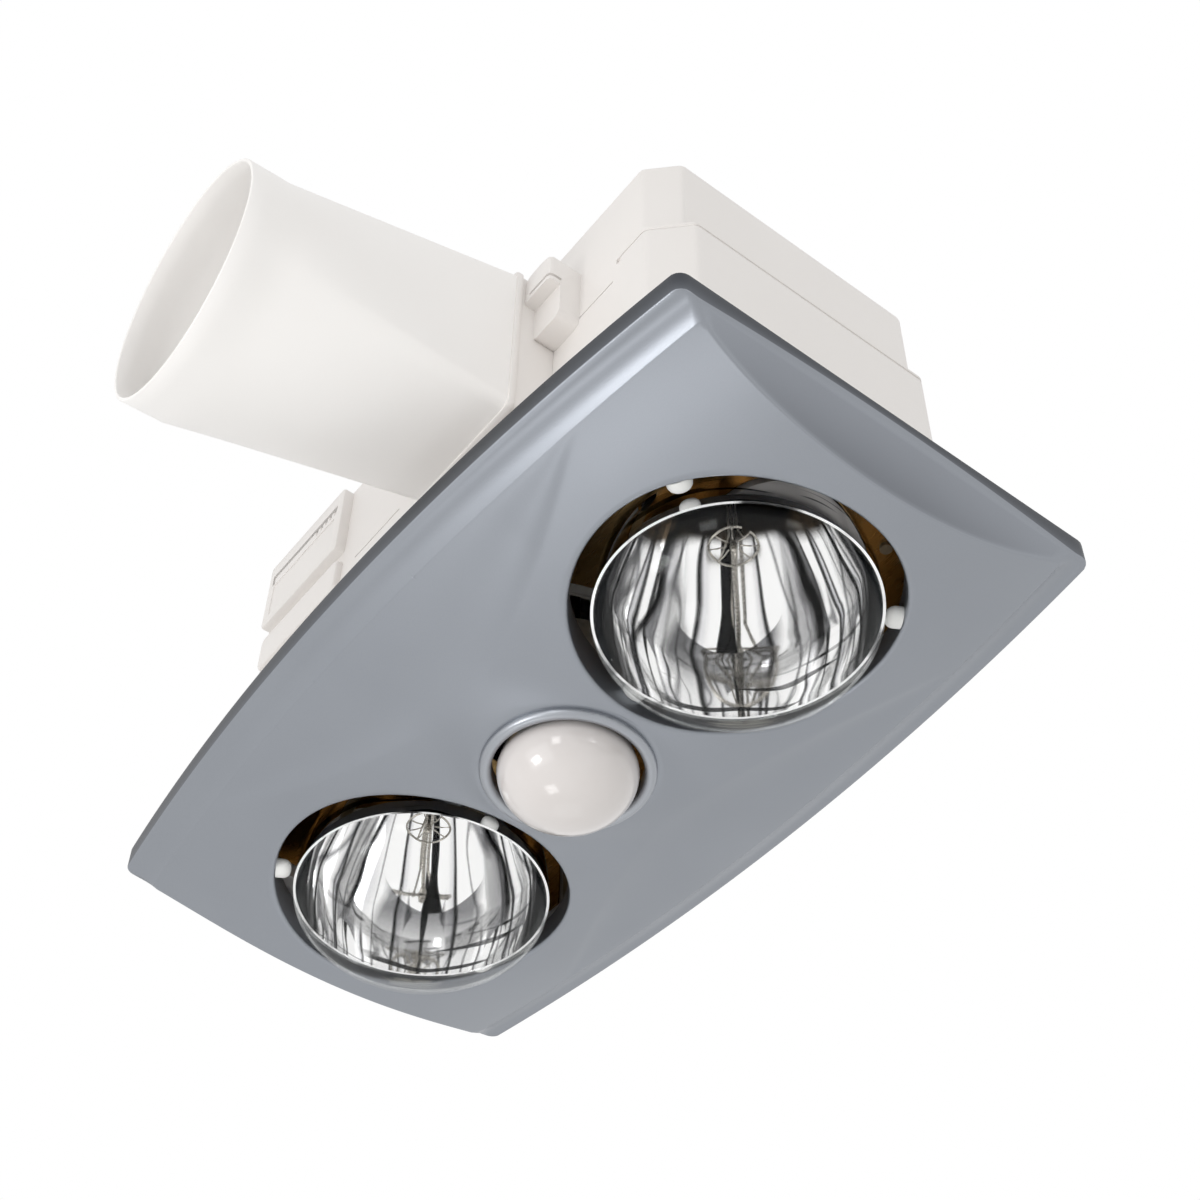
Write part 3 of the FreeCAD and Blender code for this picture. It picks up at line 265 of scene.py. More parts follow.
def settle(piece, crisp=CRISP):
    """Puts a piece's modifiers into its mesh for good."""
    graph = bpy.context.evaluated_depsgraph_get()
    mesh = bpy.data.meshes.new_from_object(piece.evaluated_get(graph))
    piece.modifiers.clear()
    piece.data = mesh
    soften(piece, crisp)


print("points weld within", WELD, "mm; edges over", CRISP, "degrees stay crisp")

# %% [markdown]
# Corners, lips and bulbs are all round somewhere. Blender's curves could draw them, but short functions that
# return points let one outline be used at several depths, each a little smaller than the last.

# %% Rounded outlines and arcs


def rounded(corners, radius, steps=4):
    """A convex outline whose corners are rounded, as flat points."""
    loop = []
    for k, corner in enumerate(corners):
        here = Vector(corner)
        to_last = (Vector(corners[k - 1]) - here).normalized()
        to_next = (Vector(corners[(k + 1) % len(corners)]) - here).normalized()
        reach = radius / math.tan(to_last.angle(to_next) / 2)
        start, end = here + to_last * reach, here + to_next * reach
        for step in range(steps + 1):
            t = step / steps
            loop.append(start * (1 - t) ** 2 + here * 2 * t * (1 - t) + end * t ** 2)
    return loop


def oblong(x, y, width, height, radius, steps=4):
    """A rounded rectangle round a middle point."""
    i, j = width / 2, height / 2
    return rounded([(x + i, y - j), (x + i, y + j), (x - i, y + j), (x - i, y - j)], radius, steps)


def arc(start, middle, end, steps):
    """Points on the circle through three flat points."""
    a, b, c = (Vector(point) for point in (start, middle, end))
    cross = 2 * ((b.x - a.x) * (c.y - a.y) - (b.y - a.y) * (c.x - a.x))
    ab, ac = (b - a).length_squared, (c - a).length_squared
    aim = Vector(((c.y - a.y) * ab - (b.y - a.y) * ac, (b.x - a.x) * ac - (c.x - a.x) * ab))
    centre = a + aim / cross
    turn = (a - centre).angle_signed(b - centre) + (b - centre).angle_signed(c - centre)
    return [centre + Matrix.Rotation(-turn * k / steps, 2) @ (a - centre) for k in range(steps + 1)]


def around(count):
    """Evenly spaced angles of a full turn."""
    return [2 * math.pi * k / count for k in range(count)]


def lathe(profile, x=0.0, y=0.0, turns=96):
    """Rings round an upright axis from (radius, height) points."""
    return [[(x + r * math.cos(a), y + r * math.sin(a), z) for a in around(turns)] for r, z in profile]


def flat_ring(loop, level):
    return [(x, y, level) for x, y in loop]


def wall_ring(loop, y):
    """An outline in X and Z, stood up at a place on Y."""
    return [(x, y, z) for x, z in loop]


print("a quarter arc:", [tuple(round(c, 2) for c in p) for p in arc((1, 0), (0.7071, 0.7071), (0, 1), 2)])

# %% [markdown]
# Slots, screw holes and openings go through walls that are already curved. They could be left open in the
# rings, but it is simpler to cut them out afterwards with a Boolean modifier and plain blocks.

# %% Cutting openings


def carve(piece, shapes):
    """Cuts closed shapes out of a piece."""
    for shape in shapes:
        cutter = put_in_scene("cutter", mesh_of("cutter", shape))
        cut = piece.modifiers.new("cut", "BOOLEAN")
        cut.object, cut.operation, cut.solver = cutter, "DIFFERENCE", "EXACT"
        settle(piece)
        bpy.data.objects.remove(cutter)
    print(f"{piece.name}: {len(shapes)} cuts, {len(piece.data.vertices)} points")


def block(low, high, radius=0.6, steps=2):
    """A box with rounded upright edges, from corner to corner."""
    middle = [(a + b) / 2 for a, b in zip(low, high)]
    loop = oblong(middle[0], middle[1], high[0] - low[0], high[1] - low[1], radius, steps)
    return capped([flat_ring(loop, low[2]), flat_ring(loop, high[2])])


print("faces of a block:", len(block((0, 0, 0), (4, 4, 4))[1]))

# %% [markdown]
# The fascia is one moulding: a crowned face, a hollow cove along each long side, and ends that lean in.
# A shallow wave is pressed into each long side, and the light sits on a flat land with a sloping skirt.
# It could be modelled as a cage under a subdivision surface, but its creases are lines that a formula gives,
# so the depth under the ceiling is written as a function of the place.

# %% The fascia's depth
HALF_LENGTH, END_HALF, BOW = 220.0, 113.6, 15.7
RIM, RIM_MID = 12.0, 4.5
COVE, COVE_HOLLOW = 15.0, 2.2
CREASE, CROWN, LONG_RISE = 16.8, 17.3, 3.5
FOOT, END_HOLLOW, END_ANGLE = 49.6, 2.0, 21
LEAN = (FOOT - RIM_MID) * math.tan(math.radians(END_ANGLE))
LAND, LAND_DEPTH, SKIRT_WIDE, SKIRT_SLOPE = 43.1, 37.8, 45.0, 0.232
WAVE_DEPTH, WAVE_FULL, WAVE_SOFT = 1.8, 30.0, 0.08
WAVE_START, WAVE_SPREAD, WAVE_LENGTH = 58.0, 47.0, 140.0
HUMP = 27 / 4


def half_width(x):
    return END_HALF + BOW * (1 - (x / HALF_LENGTH) ** 2)


def crease_at(x):
    return half_width(x) - COVE


def crown_depth(x, y):
    fold = CREASE + LONG_RISE * (1 - (x / HALF_LENGTH) ** 2)
    return fold + CROWN * (1 - (y / crease_at(x)) ** 2)


def end_depth(x, y):
    """Depth of the leaning end, or a large number away from it."""
    rim = RIM_MID + (RIM - RIM_MID) * (y / END_HALF) ** 2
    out, bend = HALF_LENGTH - abs(x), 4 * END_HOLLOW
    under = (LEAN + bend) ** 2 - 4 * bend * out
    if under < 0:
        return 2 * FOOT
    share = (LEAN + bend - math.sqrt(under)) / (2 * bend)
    return rim + (FOOT - rim) * share


def scallop(x, y):
    """How far the shallow wave is pressed in; HUMP makes the top of share * (1 - share) ** 2 equal 1."""
    crease = crease_at(x)
    start = WAVE_START + WAVE_SPREAD * (abs(x) / WAVE_LENGTH) ** 1.5
    if not start < abs(y) < crease or start > crease - 1:
        return 0.0
    share = (abs(y) - start) / (crease - start)
    gentle = share * share / (share + WAVE_SOFT)
    return WAVE_DEPTH * min(1.0, (crease - start) / WAVE_FULL) * HUMP * gentle * (1 - share) ** 2


def soft_step(start, end, value):
    t = min(1.0, max(0.0, (value - start) / (end - start)))
    return t * t * (3 - 2 * t)


def soft_least(first, second, blend=1.6):
    """The lesser of two depths, rounded where they cross."""
    near = max(blend - abs(first - second), 0.0) / blend
    return min(first, second) - near * near * blend / 4


def fascia_depth(x, y):
    crease = crease_at(x)
    if abs(y) <= crease:
        face = crown_depth(x, y)
    else:
        share = (abs(y) - crease) / COVE
        fold = crown_depth(x, crease)
        face = fold + (RIM - fold) * share - COVE_HOLLOW * 4 * share * (1 - share)
    away = math.hypot(x, y)
    skirt = LAND_DEPTH - SKIRT_SLOPE * (away - LAND)
    seat = LAND_DEPTH if away <= LAND else -soft_least(-skirt, -face, 1.0)
    face += (seat - face) * (1 - soft_step(LAND, LAND + SKIRT_WIDE, away))
    return soft_least(face - scallop(x, y), end_depth(x, y))


samples = ((0, 60), (0, 114), (219, 0))
print("depth near the middle, a crease and an end:", [round(fascia_depth(*p), 1) for p in samples])

# %% [markdown]
# The outline bows along its long sides, runs straight across its ends and turns small round corners. Every
# point is kept with a partner a little inside it, so that the edge can be rounded over between the two.

# %% The fascia's outline
SEAM_X, EDGE_ROUND, CORNER = 40.0, 0.8, 6.0
CORNER_X = HALF_LENGTH - CORNER
CORNER_Y = half_width(CORNER_X) - CORNER
NEARLY = 0.01


def steps_between(start, end, spacing=4.0):
    """Evenly spaced places from start up to, but without, end."""
    count = max(2, round(abs(end - start) / spacing))
    return [start + (end - start) * k / count for k in range(count)]


def edge_point(x, y):
    """A point of the outline and the same point a little inside it."""
    if abs(x) >= CORNER_X and abs(y) > CORNER_Y:
        heart = Vector((math.copysign(CORNER_X, x), math.copysign(CORNER_Y, y)))
        out = (Vector((x, y)) - heart).normalized()
    elif abs(x) >= HALF_LENGTH - NEARLY:
        out = Vector((math.copysign(1, x), 0))
    elif abs(abs(x) - SEAM_X) < NEARLY:
        out = Vector((0, math.copysign(1, y)))
    else:
        out = Vector((2 * BOW * x / HALF_LENGTH ** 2, math.copysign(1, y))).normalized()
    return Vector((x, y)), Vector((x, y)) - out * EDGE_ROUND


def long_side(start, end, side):
    return [edge_point(x, side * half_width(x)) for x in steps_between(start, end)]


def end_side():
    """The right end, from the corner on the duct side to the other."""
    turns = steps_between(0, math.pi / 2, 0.32)
    corner = [(CORNER_X + CORNER * math.sin(a), -CORNER_Y - CORNER * math.cos(a)) for a in turns]
    points = corner + [(HALF_LENGTH, across) for across in steps_between(-CORNER_Y, CORNER_Y)]
    points += [(x, -y) for x, y in [(HALF_LENGTH, -CORNER_Y)] + corner[:0:-1]]
    return [edge_point(*point) for point in points]


def mirrored(pairs):
    """The same run of points on the left, in the order that keeps it going round."""
    return [tuple(Vector((-point.x, -point.y)) for point in pair) for pair in pairs]


right_run = long_side(SEAM_X, CORNER_X, -1) + end_side() + long_side(CORNER_X, SEAM_X, 1)
back_run = long_side(SEAM_X, -SEAM_X, 1)
outline = right_run + back_run + mirrored(right_run + back_run)
print("outline points:", len(outline))

# %% [markdown]
# The face is three panels, one round each hole, with points along rays from the hole to the outline or to a
# seam. One row lies on the crease and others crowd up to it, which keeps it crisp without a fine mesh.

# %% Rays from the holes
LAMP_X, LAMP_HOLE, LAMP_COLLAR = 119.0, 72.0, 16.0
LIGHT_HOLE, LIGHT_COLLAR = 37.2, 33.0
LIP, ROWS_IN, ROWS_OUT, CROWDING = 1.6, 32, 10, 1.6
SEARCH_STEPS, HALVINGS = 60, 16
LEAST_BEND, MOST_BEND = 0.05, 0.985


def leaves_face(x, y):
    return abs(y) > crease_at(x) or end_depth(x, y) < crown_depth(x, y)


def crossing(start, end):
    """How far along a ray the crowned face ends."""
    for k in range(1, SEARCH_STEPS + 1):
        if leaves_face(*start.lerp(end, k / SEARCH_STEPS)):
            low, high = (k - 1) / SEARCH_STEPS, k / SEARCH_STEPS
            for _ in range(HALVINGS):
                middle = (low + high) / 2
                low, high = (low, middle) if leaves_face(*start.lerp(end, middle)) else (middle, high)
            return min(MOST_BEND, max(LEAST_BEND, low))
    return MOST_BEND


def ray(centre, hole, top, end):
    """Points from the top of a hole's collar, round its lip and over the face to the outline."""
    out = (end - centre).normalized()
    start = centre + out * (hole + LIP)
    brink = fascia_depth(*start)
    points = [(*(centre + out * hole), -top)]
    for angle in (90, 60, 30):
        turn = math.radians(angle)
        lip = centre + out * (hole + LIP * (1 - math.sin(turn)))
        points.append((*lip, -(brink - LIP * (1 - math.cos(turn)))))
    bend = crossing(start, end)
    shares = [bend * (1 - (1 - k / ROWS_IN) ** CROWDING) for k in range(ROWS_IN + 1)]
    shares += [bend + (1 - bend) * (k / ROWS_OUT) ** CROWDING for k in range(1, ROWS_OUT + 1)]
    spots = [start.lerp(end, share) for share in shares]
    return points + [(*spot, -fascia_depth(*spot)) for spot in spots]


def panel(centre, hole, top, loop):
    rays = [ray(Vector(centre), hole, top, end) for end in loop]
    return skin([list(row) for row in zip(*rays)])


FLAT_PART, SEAM_FINE, SEAM_COARSE = 92.0, 1.0, 2.0
seam_end = half_width(SEAM_X) - EDGE_ROUND
seam_places = steps_between(seam_end, FLAT_PART, SEAM_FINE)
seam_places += steps_between(FLAT_PART, -FLAT_PART, SEAM_COARSE)
seam_places += steps_between(-FLAT_PART, -seam_end, SEAM_FINE)
seam_down = [Vector((SEAM_X, y)) for y in seam_places]
seam_up = [Vector((SEAM_X, -y)) for y in seam_places]
inner_right = [inside for _, inside in right_run]
inner_back = [inside for _, inside in back_run]
right_panel = panel((LAMP_X, 0), LAMP_HOLE, LAMP_COLLAR, inner_right + seam_down)
left_panel = [(-x, -y, z) for x, y, z in right_panel[0]], right_panel[1]
middle_loop = seam_up + inner_back
middle_panel = panel((0, 0), LIGHT_HOLE, LIGHT_COLLAR, middle_loop + [-point for point in middle_loop])
print("points in the three panels:", [len(p[0]) for p in (right_panel, middle_panel, left_panel)])

# %% [markdown]
# The panels and a rounded rim are welded into one skin. A Solidify modifier gives it a wall, so that holes
# and edges show the thickness of a real moulding.

# %% Rim and wall
ROUND_SHARE, ROUND_RISE = 0.3, 0.3
FASCIA_WALL, FASCIA_CRISP = 2.2, 70


def over_edge(outside, inside):
    """Points from the face, round its edge and up to the ceiling."""
    depth = fascia_depth(*inside)
    turned = outside.lerp(inside, ROUND_SHARE)
    return (*inside, -depth), (*turned, ROUND_RISE - depth), (*outside, EDGE_ROUND - depth), (*outside, 0.0)


rim_rings = [list(ring) for ring in zip(*[over_edge(*pair) for pair in outline])]
fascia = make_piece(
    "fascia_moulding", joined(right_panel, middle_panel, left_panel, skin(rim_rings)),
    "fascia_panel", "fascia_silver", "fascia", crisp=FASCIA_CRISP,
)
lowest = min(fascia.data.polygons, key=lambda face: face.center.z)
if lowest.normal.z > 0:
    fascia.data.flip_normals()
thickness = fascia.modifiers.new("wall", "SOLIDIFY")
thickness.thickness, thickness.offset = FASCIA_WALL * MM, -1.0
settle(fascia, FASCIA_CRISP)
print("fascia points:", len(fascia.data.vertices))

# %% [markdown]
# Inside the fascia four posts carry the spring strips. They are plain blocks that grow from its back, and
# they show when the fascia is pulled down.

# %% Spring posts
QUARTERS = [(1, 1), (1, -1), (-1, 1), (-1, -1)]
POST_X, POST_FACE, POST_DEPTH, POST_HALF, POST_TOP = 110.0, 84.3, 5.7, 10.0, -3.0


def spring_post(i, j):
    near, far = sorted((j * POST_FACE, j * (POST_FACE + POST_DEPTH)))
    foot = 1.0 - fascia_depth(POST_X, POST_FACE + POST_DEPTH)
    return block((i * POST_X - POST_HALF, near, foot), (i * POST_X + POST_HALF, far, POST_TOP))


posts = [spring_post(i, j) for i, j in QUARTERS]
make_piece("spring_posts", joined(*posts), "fascia_panel", "fascia_silver")
print("posts:", len(posts))

# %% [markdown]
# The light looks out through a rounded bezel that lies on a flat land of the fascia. Both the bezel and the
# opal globe are turned shapes, so each is a profile that is spun round the middle axis.

# %% Bezel and globe
BEZEL_OUT, BEZEL_IN, BEZEL_CREST = 40.7, 35.0, -41.3
SLEEVE_OUT, SLEEVE_TOP = 37.0, -31.8
GLOBE_RADIUS, GLOBE_LEVEL, GLOBE_DROP = 32.7, -38.8, 26.0
GLOBE_SHOULDER, GLOBE_NECK = (26.35, -17.4), (14.0, 4.0)

bezel_middle = (BEZEL_OUT + BEZEL_IN) / 2
bezel = arc((BEZEL_OUT, -LAND_DEPTH), (bezel_middle, BEZEL_CREST), (BEZEL_IN, -LAND_DEPTH), 18)
bezel += [Vector(p) for p in ((BEZEL_IN, SLEEVE_TOP), (SLEEVE_OUT, SLEEVE_TOP), (SLEEVE_OUT, -LAND_DEPTH))]
bezel_skin = skin(lathe(bezel, turns=128), shut=True)
make_piece("light_bezel", bezel_skin, "fascia_panel", "ring_silver", "light_ring")


def dome(radius, level, drop, steps=24):
    """A flattened half ball under a level, from its tip out to its edge."""
    turns = [math.pi / 2 * k / steps for k in range(steps + 1)]
    return [Vector((radius * math.sin(t), level - drop * math.cos(t))) for t in turns]


globe = dome(GLOBE_RADIUS, GLOBE_LEVEL, GLOBE_DROP)
globe += arc((GLOBE_RADIUS, GLOBE_LEVEL), GLOBE_SHOULDER, GLOBE_NECK, 16)[1:]
make_piece("opal_globe", skin(lathe(globe)), "light", "opal_glass", "light_globe")
print("globe profile:", len(globe), "points")

# %% [markdown]
# A heat lamp is a blown bulb with a clear front and a bowl that is silvered up to its neck. They are separate
# pieces because their finishes differ, and each is a shell with an inside and an outside, as glass has.

# %% Lamp glass and mirror
HANDS = (("right", 1), ("left", -1))
LAMP_RADIUS, LAMP_RIM, LAMP_DROP, GLASS = 62.5, -35.0, 35.0, 1.2
LAMP_WAIST, LAMP_NECK = (56.5, 0.0), (18.0, 84.0)
LAMP_TURNS, FRONT_STEPS = 128, 32

lamp_back = arc((LAMP_RADIUS, LAMP_RIM), (61.0, -17.5), LAMP_WAIST, 10)
lamp_back += arc(LAMP_WAIST, (40.25, 42.0), LAMP_NECK, 26)[1:]
back_inside = [Vector((r - GLASS, z)) for r, z in lamp_back]
lamp_front = dome(LAMP_RADIUS, LAMP_RIM, LAMP_DROP, FRONT_STEPS)
front_inside = dome(LAMP_RADIUS - GLASS, LAMP_RIM, LAMP_DROP - GLASS, FRONT_STEPS)

for hand, side in HANDS:
    spin = {"x": side * LAMP_X, "turns": LAMP_TURNS}
    front = skin(lathe(front_inside[::-1] + lamp_front, **spin))
    bowl = skin(lathe(lamp_back + back_inside[::-1], **spin), shut=True)
    body = f"heat_lamp_{hand}"
    make_piece(f"lamp_{hand}_clear_front", front, body, "lamp_glass", f"lamp_{hand}_front")
    make_piece(f"lamp_{hand}_mirror_bowl", bowl, body, "lamp_mirror", f"lamp_{hand}_bowl", crisp=60)
    print(f"{hand} lamp: {len(front[0])} points in the front, {len(bowl[0])} in the bowl")

# %% [markdown]
# Three soft pegs in the edge of each lamp hole keep the lamp from knocking against the fascia. Each is a flat
# round-nosed plug, made of ovals along a spoke of the hole.

# %% Lamp pegs
PEG_LEVEL, PEG_WIDE, PEG_HIGH, PEG_POINTS = -25.2, 5.6, 4.0, 32
PEG_NOSE = ((64.6, 0.02), (64.8, 0.4), (65.5, 0.7), (66.7, 0.9), (68.3, 1.0), (71.9, 1.0))


def lamp_peg(side, turn):
    angle = math.radians(turn + 90 * (1 + side))
    out = Vector((math.cos(angle), math.sin(angle), 0))
    across = Vector((-math.sin(angle), math.cos(angle), 0))
    heart = Vector((side * LAMP_X, 0, PEG_LEVEL))
    turns = around(PEG_POINTS)
    oval = [across * (PEG_WIDE * math.cos(t)) + Vector((0, 0, PEG_HIGH * math.sin(t))) for t in turns]
    return capped([[heart + out * reach + spot * share for spot in oval] for reach, share in PEG_NOSE])


pegs = [lamp_peg(side, turn) for _, side in HANDS for turn in (0, 120, 240)]
make_piece("lamp_pegs", joined(*pegs), "fascia_panel", "bumper_white", "lamp_bumpers")
print("lamp pegs:", len(pegs))

# %% [markdown]
# In the middle of each bowl a glass stem carries fine wires that hold the filament ring. Each wire is a thin
# tube round a run of points; a curve with a bevel would do as well, but tubes join into one mesh.

# %% Filament mount
STEM = ((0.01, 6.5), (1.2, 7.0), (1.8, 10.0), (0.8, 13.0), (0.8, 40.0), (2.4, 84.0))
SUPPORT = ((3.0, 10.5), (7.0, 9.4), (10.4, 9.2), (11.2, 10.0))
SUPPORTS, SUPPORT_WIRE, LEAD_WIRE = 8, 0.35, 0.5
RING_LEVEL, RING_RADIUS, RING_WIRE = 10.0, 11.0, 0.55
RING_SHARE, ZIGZAGS, ZIGZAG_HIGH = 0.94, 6 * SUPPORTS, 0.45


def thread(points, radius, sides=8):
    """A thin tube through points."""
    spots = [Vector(point) for point in points]
    rings = []
    for k, spot in enumerate(spots):
        ahead = (spots[min(k + 1, len(spots) - 1)] - spots[max(k - 1, 0)]).normalized()
        across = ahead.orthogonal().normalized()
        lift = ahead.cross(across)
        rings.append([spot + (across * math.cos(t) + lift * math.sin(t)) * radius for t in around(sides)])
    return capped(rings)


def round_spot(x, radius, angle, level):
    return (x + radius * math.cos(angle), radius * math.sin(angle), level)


def filament_mount(x):
    shapes = [skin(lathe(STEM, x, turns=24))]
    for angle in around(SUPPORTS):
        shapes.append(thread([round_spot(x, r, angle, z) for r, z in SUPPORT], SUPPORT_WIRE))
    turns = [2 * math.pi * k / ZIGZAGS * RING_SHARE for k in range(ZIGZAGS + 1)]
    levels = [RING_LEVEL + ZIGZAG_HIGH * math.sin(ZIGZAGS * t) for t in turns]
    shapes.append(thread([round_spot(x, RING_RADIUS, t, z) for t, z in zip(turns, levels)], RING_WIRE))
    for sign in (1, -1):
        lead = [(x + sign * 2.4, 0, 60.0), (x + sign * 2.8, 0, 20.0), (x + sign * 6.0, sign * 1.0, 11.0)]
        joint = round_spot(x, RING_RADIUS, 0.05 * sign + (sign < 0) * math.pi, RING_LEVEL)
        shapes.append(thread(lead + [joint], LEAD_WIRE))
    return joined(*shapes)


for hand, side in HANDS:
    mount = filament_mount(side * LAMP_X)
    make_piece(f"lamp_{hand}_mount", mount, f"heat_lamp_{hand}", "filament_metal", f"lamp_{hand}_filament")
    print(f"{hand} mount: {len(mount[0])} points")

# %% [markdown]
# The housing is two eight-sided boxes, one on the other, moulded with soft edges. Each is a skin over rings
# of the same eight rounded corners, drawn in where the wall steps in. The seam between the boxes is a groove
# that closes up along the duct side, so each ring has extra points where the groove stops.

# %% Lower housing
BODY_LONG, BODY_WIDE, BODY_TOP, BODY_CUT, WALL = 183.0, 87.0, 125.0, 17.0, 2.5
FLANGE_LONG, FLANGE_WIDE, FLANGE_CUT, FLANGE_ROUND, FLANGE_THICK = 206.0, 104.0, 6.0, 4.0, 3.0
SEAM_ENDS = (-157.0, -155.0, 147.0, 149.0)


def eight_sided(long, wide, cut, radius=5.0):
    corners = [
        (long - cut, -wide), (long, cut - wide), (long, wide - cut), (long - cut, wide),
        (cut - long, wide), (-long, wide - cut), (-long, cut - wide), (cut - long, -wide),
    ]
    return rounded(corners, radius) + [Vector((x, -wide)) for x in SEAM_ENDS]


def body_ring(inset, level):
    cut = BODY_CUT - inset * (2 - math.sqrt(2))
    return flat_ring(eight_sided(BODY_LONG - inset, BODY_WIDE - inset, cut), level)


def seam_ring(inset, level):
    """A ring beside the seam, which closes up along the duct side."""
    ring = []
    for x, y, z in body_ring(inset, level):
        flush = y < inset - BODY_WIDE + NEARLY and SEAM_ENDS[1] <= x <= SEAM_ENDS[2]
        ring.append((x, -BODY_WIDE if flush else y, z))
    return ring


def flange_ring(inset, level):
    return flat_ring(eight_sided(FLANGE_LONG - inset, FLANGE_WIDE - inset, FLANGE_CUT, FLANGE_ROUND), level)


body_rings = [
    body_ring(WALL, BODY_TOP),
    seam_ring(1.5, BODY_TOP),
    seam_ring(0.2, BODY_TOP - 0.7),
    body_ring(0, BODY_TOP - 1.5),
    body_ring(0, 1.5),
    body_ring(-1.5, 0),
    flange_ring(0.5, 0),
    flange_ring(0, -0.5),
    flange_ring(0, 0.5 - FLANGE_THICK),
    flange_ring(0.5, -FLANGE_THICK),
    body_ring(WALL, -FLANGE_THICK),
]
body_shape = skin(body_rings, shut=True)
lower = make_piece("housing_lower", body_shape, "housing", "housing_cream", "housing_body", "ceiling_flange")
print("lower housing:", len(body_rings), "rings of", len(body_rings[0]), "points")

# %% [markdown]
# Through the duct side go the outlet, three narrow slits and the small hook that ends the seam.
# The flange has four screw holes, and inside the long walls stand ribs and bosses for what is screwed on.

# %% Openings and ribs of the lower housing
OUTLET_X, OUTLET_WIDE, OUTLET_LOW, OUTLET_HIGH = 61.5, 73.0, 46.0, 152.0
OUTLET_GAP, OUTLET_ROOM = 0.2, 1.0
SCREW_X, SCREW_Y, SCREW_HOLE = 194.0, 84.0, 2.75
SLITS = ((113, 143, 110), (-73, -32, 115), (-161, -127, 114))
SLIT_HALF = 0.5
RIB_Y, RIB_DEPTH = 78.5, 6.2
BOSS_X = 140.0


def side_cut(start, end, low, high, radius):
    """A block that goes through the wall on the duct side."""
    return block((start, -90, low), (end, -80, high), radius)


def wall_block(x, side, half, low, high):
    """A block that stands inside a long wall."""
    return block((x - half, side * RIB_Y - RIB_DEPTH, low), (x + half, side * RIB_Y + RIB_DEPTH, high))


screw_sides = [(SCREW_HOLE, -5), (SCREW_HOLE, 2)]
screw_holes = [capped(lathe(screw_sides, i * SCREW_X, j * SCREW_Y, 24)) for i, j in QUARTERS]
half = OUTLET_WIDE / 2 + OUTLET_GAP
low, high = OUTLET_LOW - OUTLET_GAP, OUTLET_HIGH + OUTLET_ROOM
outlet_cut = side_cut(OUTLET_X - half, OUTLET_X + half, low, high, 0.2)
slits = [side_cut(start, end, z - SLIT_HALF, z + SLIT_HALF, 0.3) for start, end, z in SLITS]
seam_hook = block((145.5, -90, 121.0), (148.5, -85.6, 126.0), 0.4)
carve(lower, screw_holes + [outlet_cut, seam_hook] + slits)
ribs = [wall_block(i * LAMP_X, j, 18, 100.0, 122.0) for i, j in QUARTERS]
bosses = [wall_block(i * BOSS_X, j, 6, 46.8, 60.8) for i, j in QUARTERS]
make_piece("housing_ribs", joined(*ribs, *bosses), "housing", "housing_cream")

# %% [markdown]
# The upper box steps in on three sides, stays flush on the outlet's side and is rounded over at the roof. It
# is a skin like the lower box, closed by flat faces inside and on top. The outlet, the opening behind the
# wiring lid and the hole of the cable gland are cut out.

# %% Upper housing
COVER_INSET, COVER_TOP, SHOULDER = 5.0, 185.0, 5.0
GLAND_Y, GLAND_Z, GLAND_HOLE = -30.0, 155.0, 8.2


def cover_ring(inset, level):
    """A ring of the upper box, which stays flush on the duct side where its other sides step in."""
    flush = min(inset, COVER_INSET)
    return [(x, y - flush * (y < 0), z) for x, y, z in body_ring(inset, level)]


cover_steps = [
    (7.5, 182.5), (7.5, 125.0), (1.4, 125.0), (1.2, 125.5), (0.1, 125.8),
    (0, 126.2), (0, 127.0), (0.5, 127.5), (4.0, 127.5), (5.0, 128.5),
]
for turn in (math.radians(angle) for angle in (0, 22.5, 45, 67.5, 90)):
    inset = COVER_INSET + SHOULDER * (1 - math.cos(turn))
    cover_steps.append((inset, COVER_TOP - SHOULDER + SHOULDER * math.sin(turn)))
cover_shape = capped([cover_ring(*step) for step in cover_steps])
upper = make_piece("housing_upper", cover_shape, "housing", "housing_cream", "housing_cover")
window = side_cut(-149, -99, 139.5, 172.5, 0.2)
gland_loop = lathe([(GLAND_HOLE, 0)], turns=32)[0]
gland_hole = capped([[(x, GLAND_Y + y, GLAND_Z + z) for y, z, _ in gland_loop] for x in (-182, -168)])
carve(upper, [outlet_cut, window, gland_hole])

# %% [markdown]
# The outlet neck sits between the two boxes. It is a rectangular tube with a raised lip where the duct joins.
# A latch block on its right side has a rounded top, a slot for a screwdriver and a lower step.

# %% Outlet neck
JOINT_Y, NECK_BACK = -110.0, -75.0
LATCH_X, LATCH_Z, LATCH_WIDE, LATCH_HIGH = 107.3, 127.0, 21.0, 46.0
outlet_middle, outlet_high = (OUTLET_LOW + OUTLET_HIGH) / 2, OUTLET_HIGH - OUTLET_LOW


def stepped(x, z, wide, high, steps, radius, least=None):
    """Upright rounded rectangles at (inset, y) steps; with a least radius, the corners follow the inset."""
    rings = []
    for inset, y in steps:
        corner = radius if least is None else max(least, radius - inset)
        rings.append(wall_ring(oblong(x, z, wide - 2 * inset, high - 2 * inset, corner), y))
    return rings


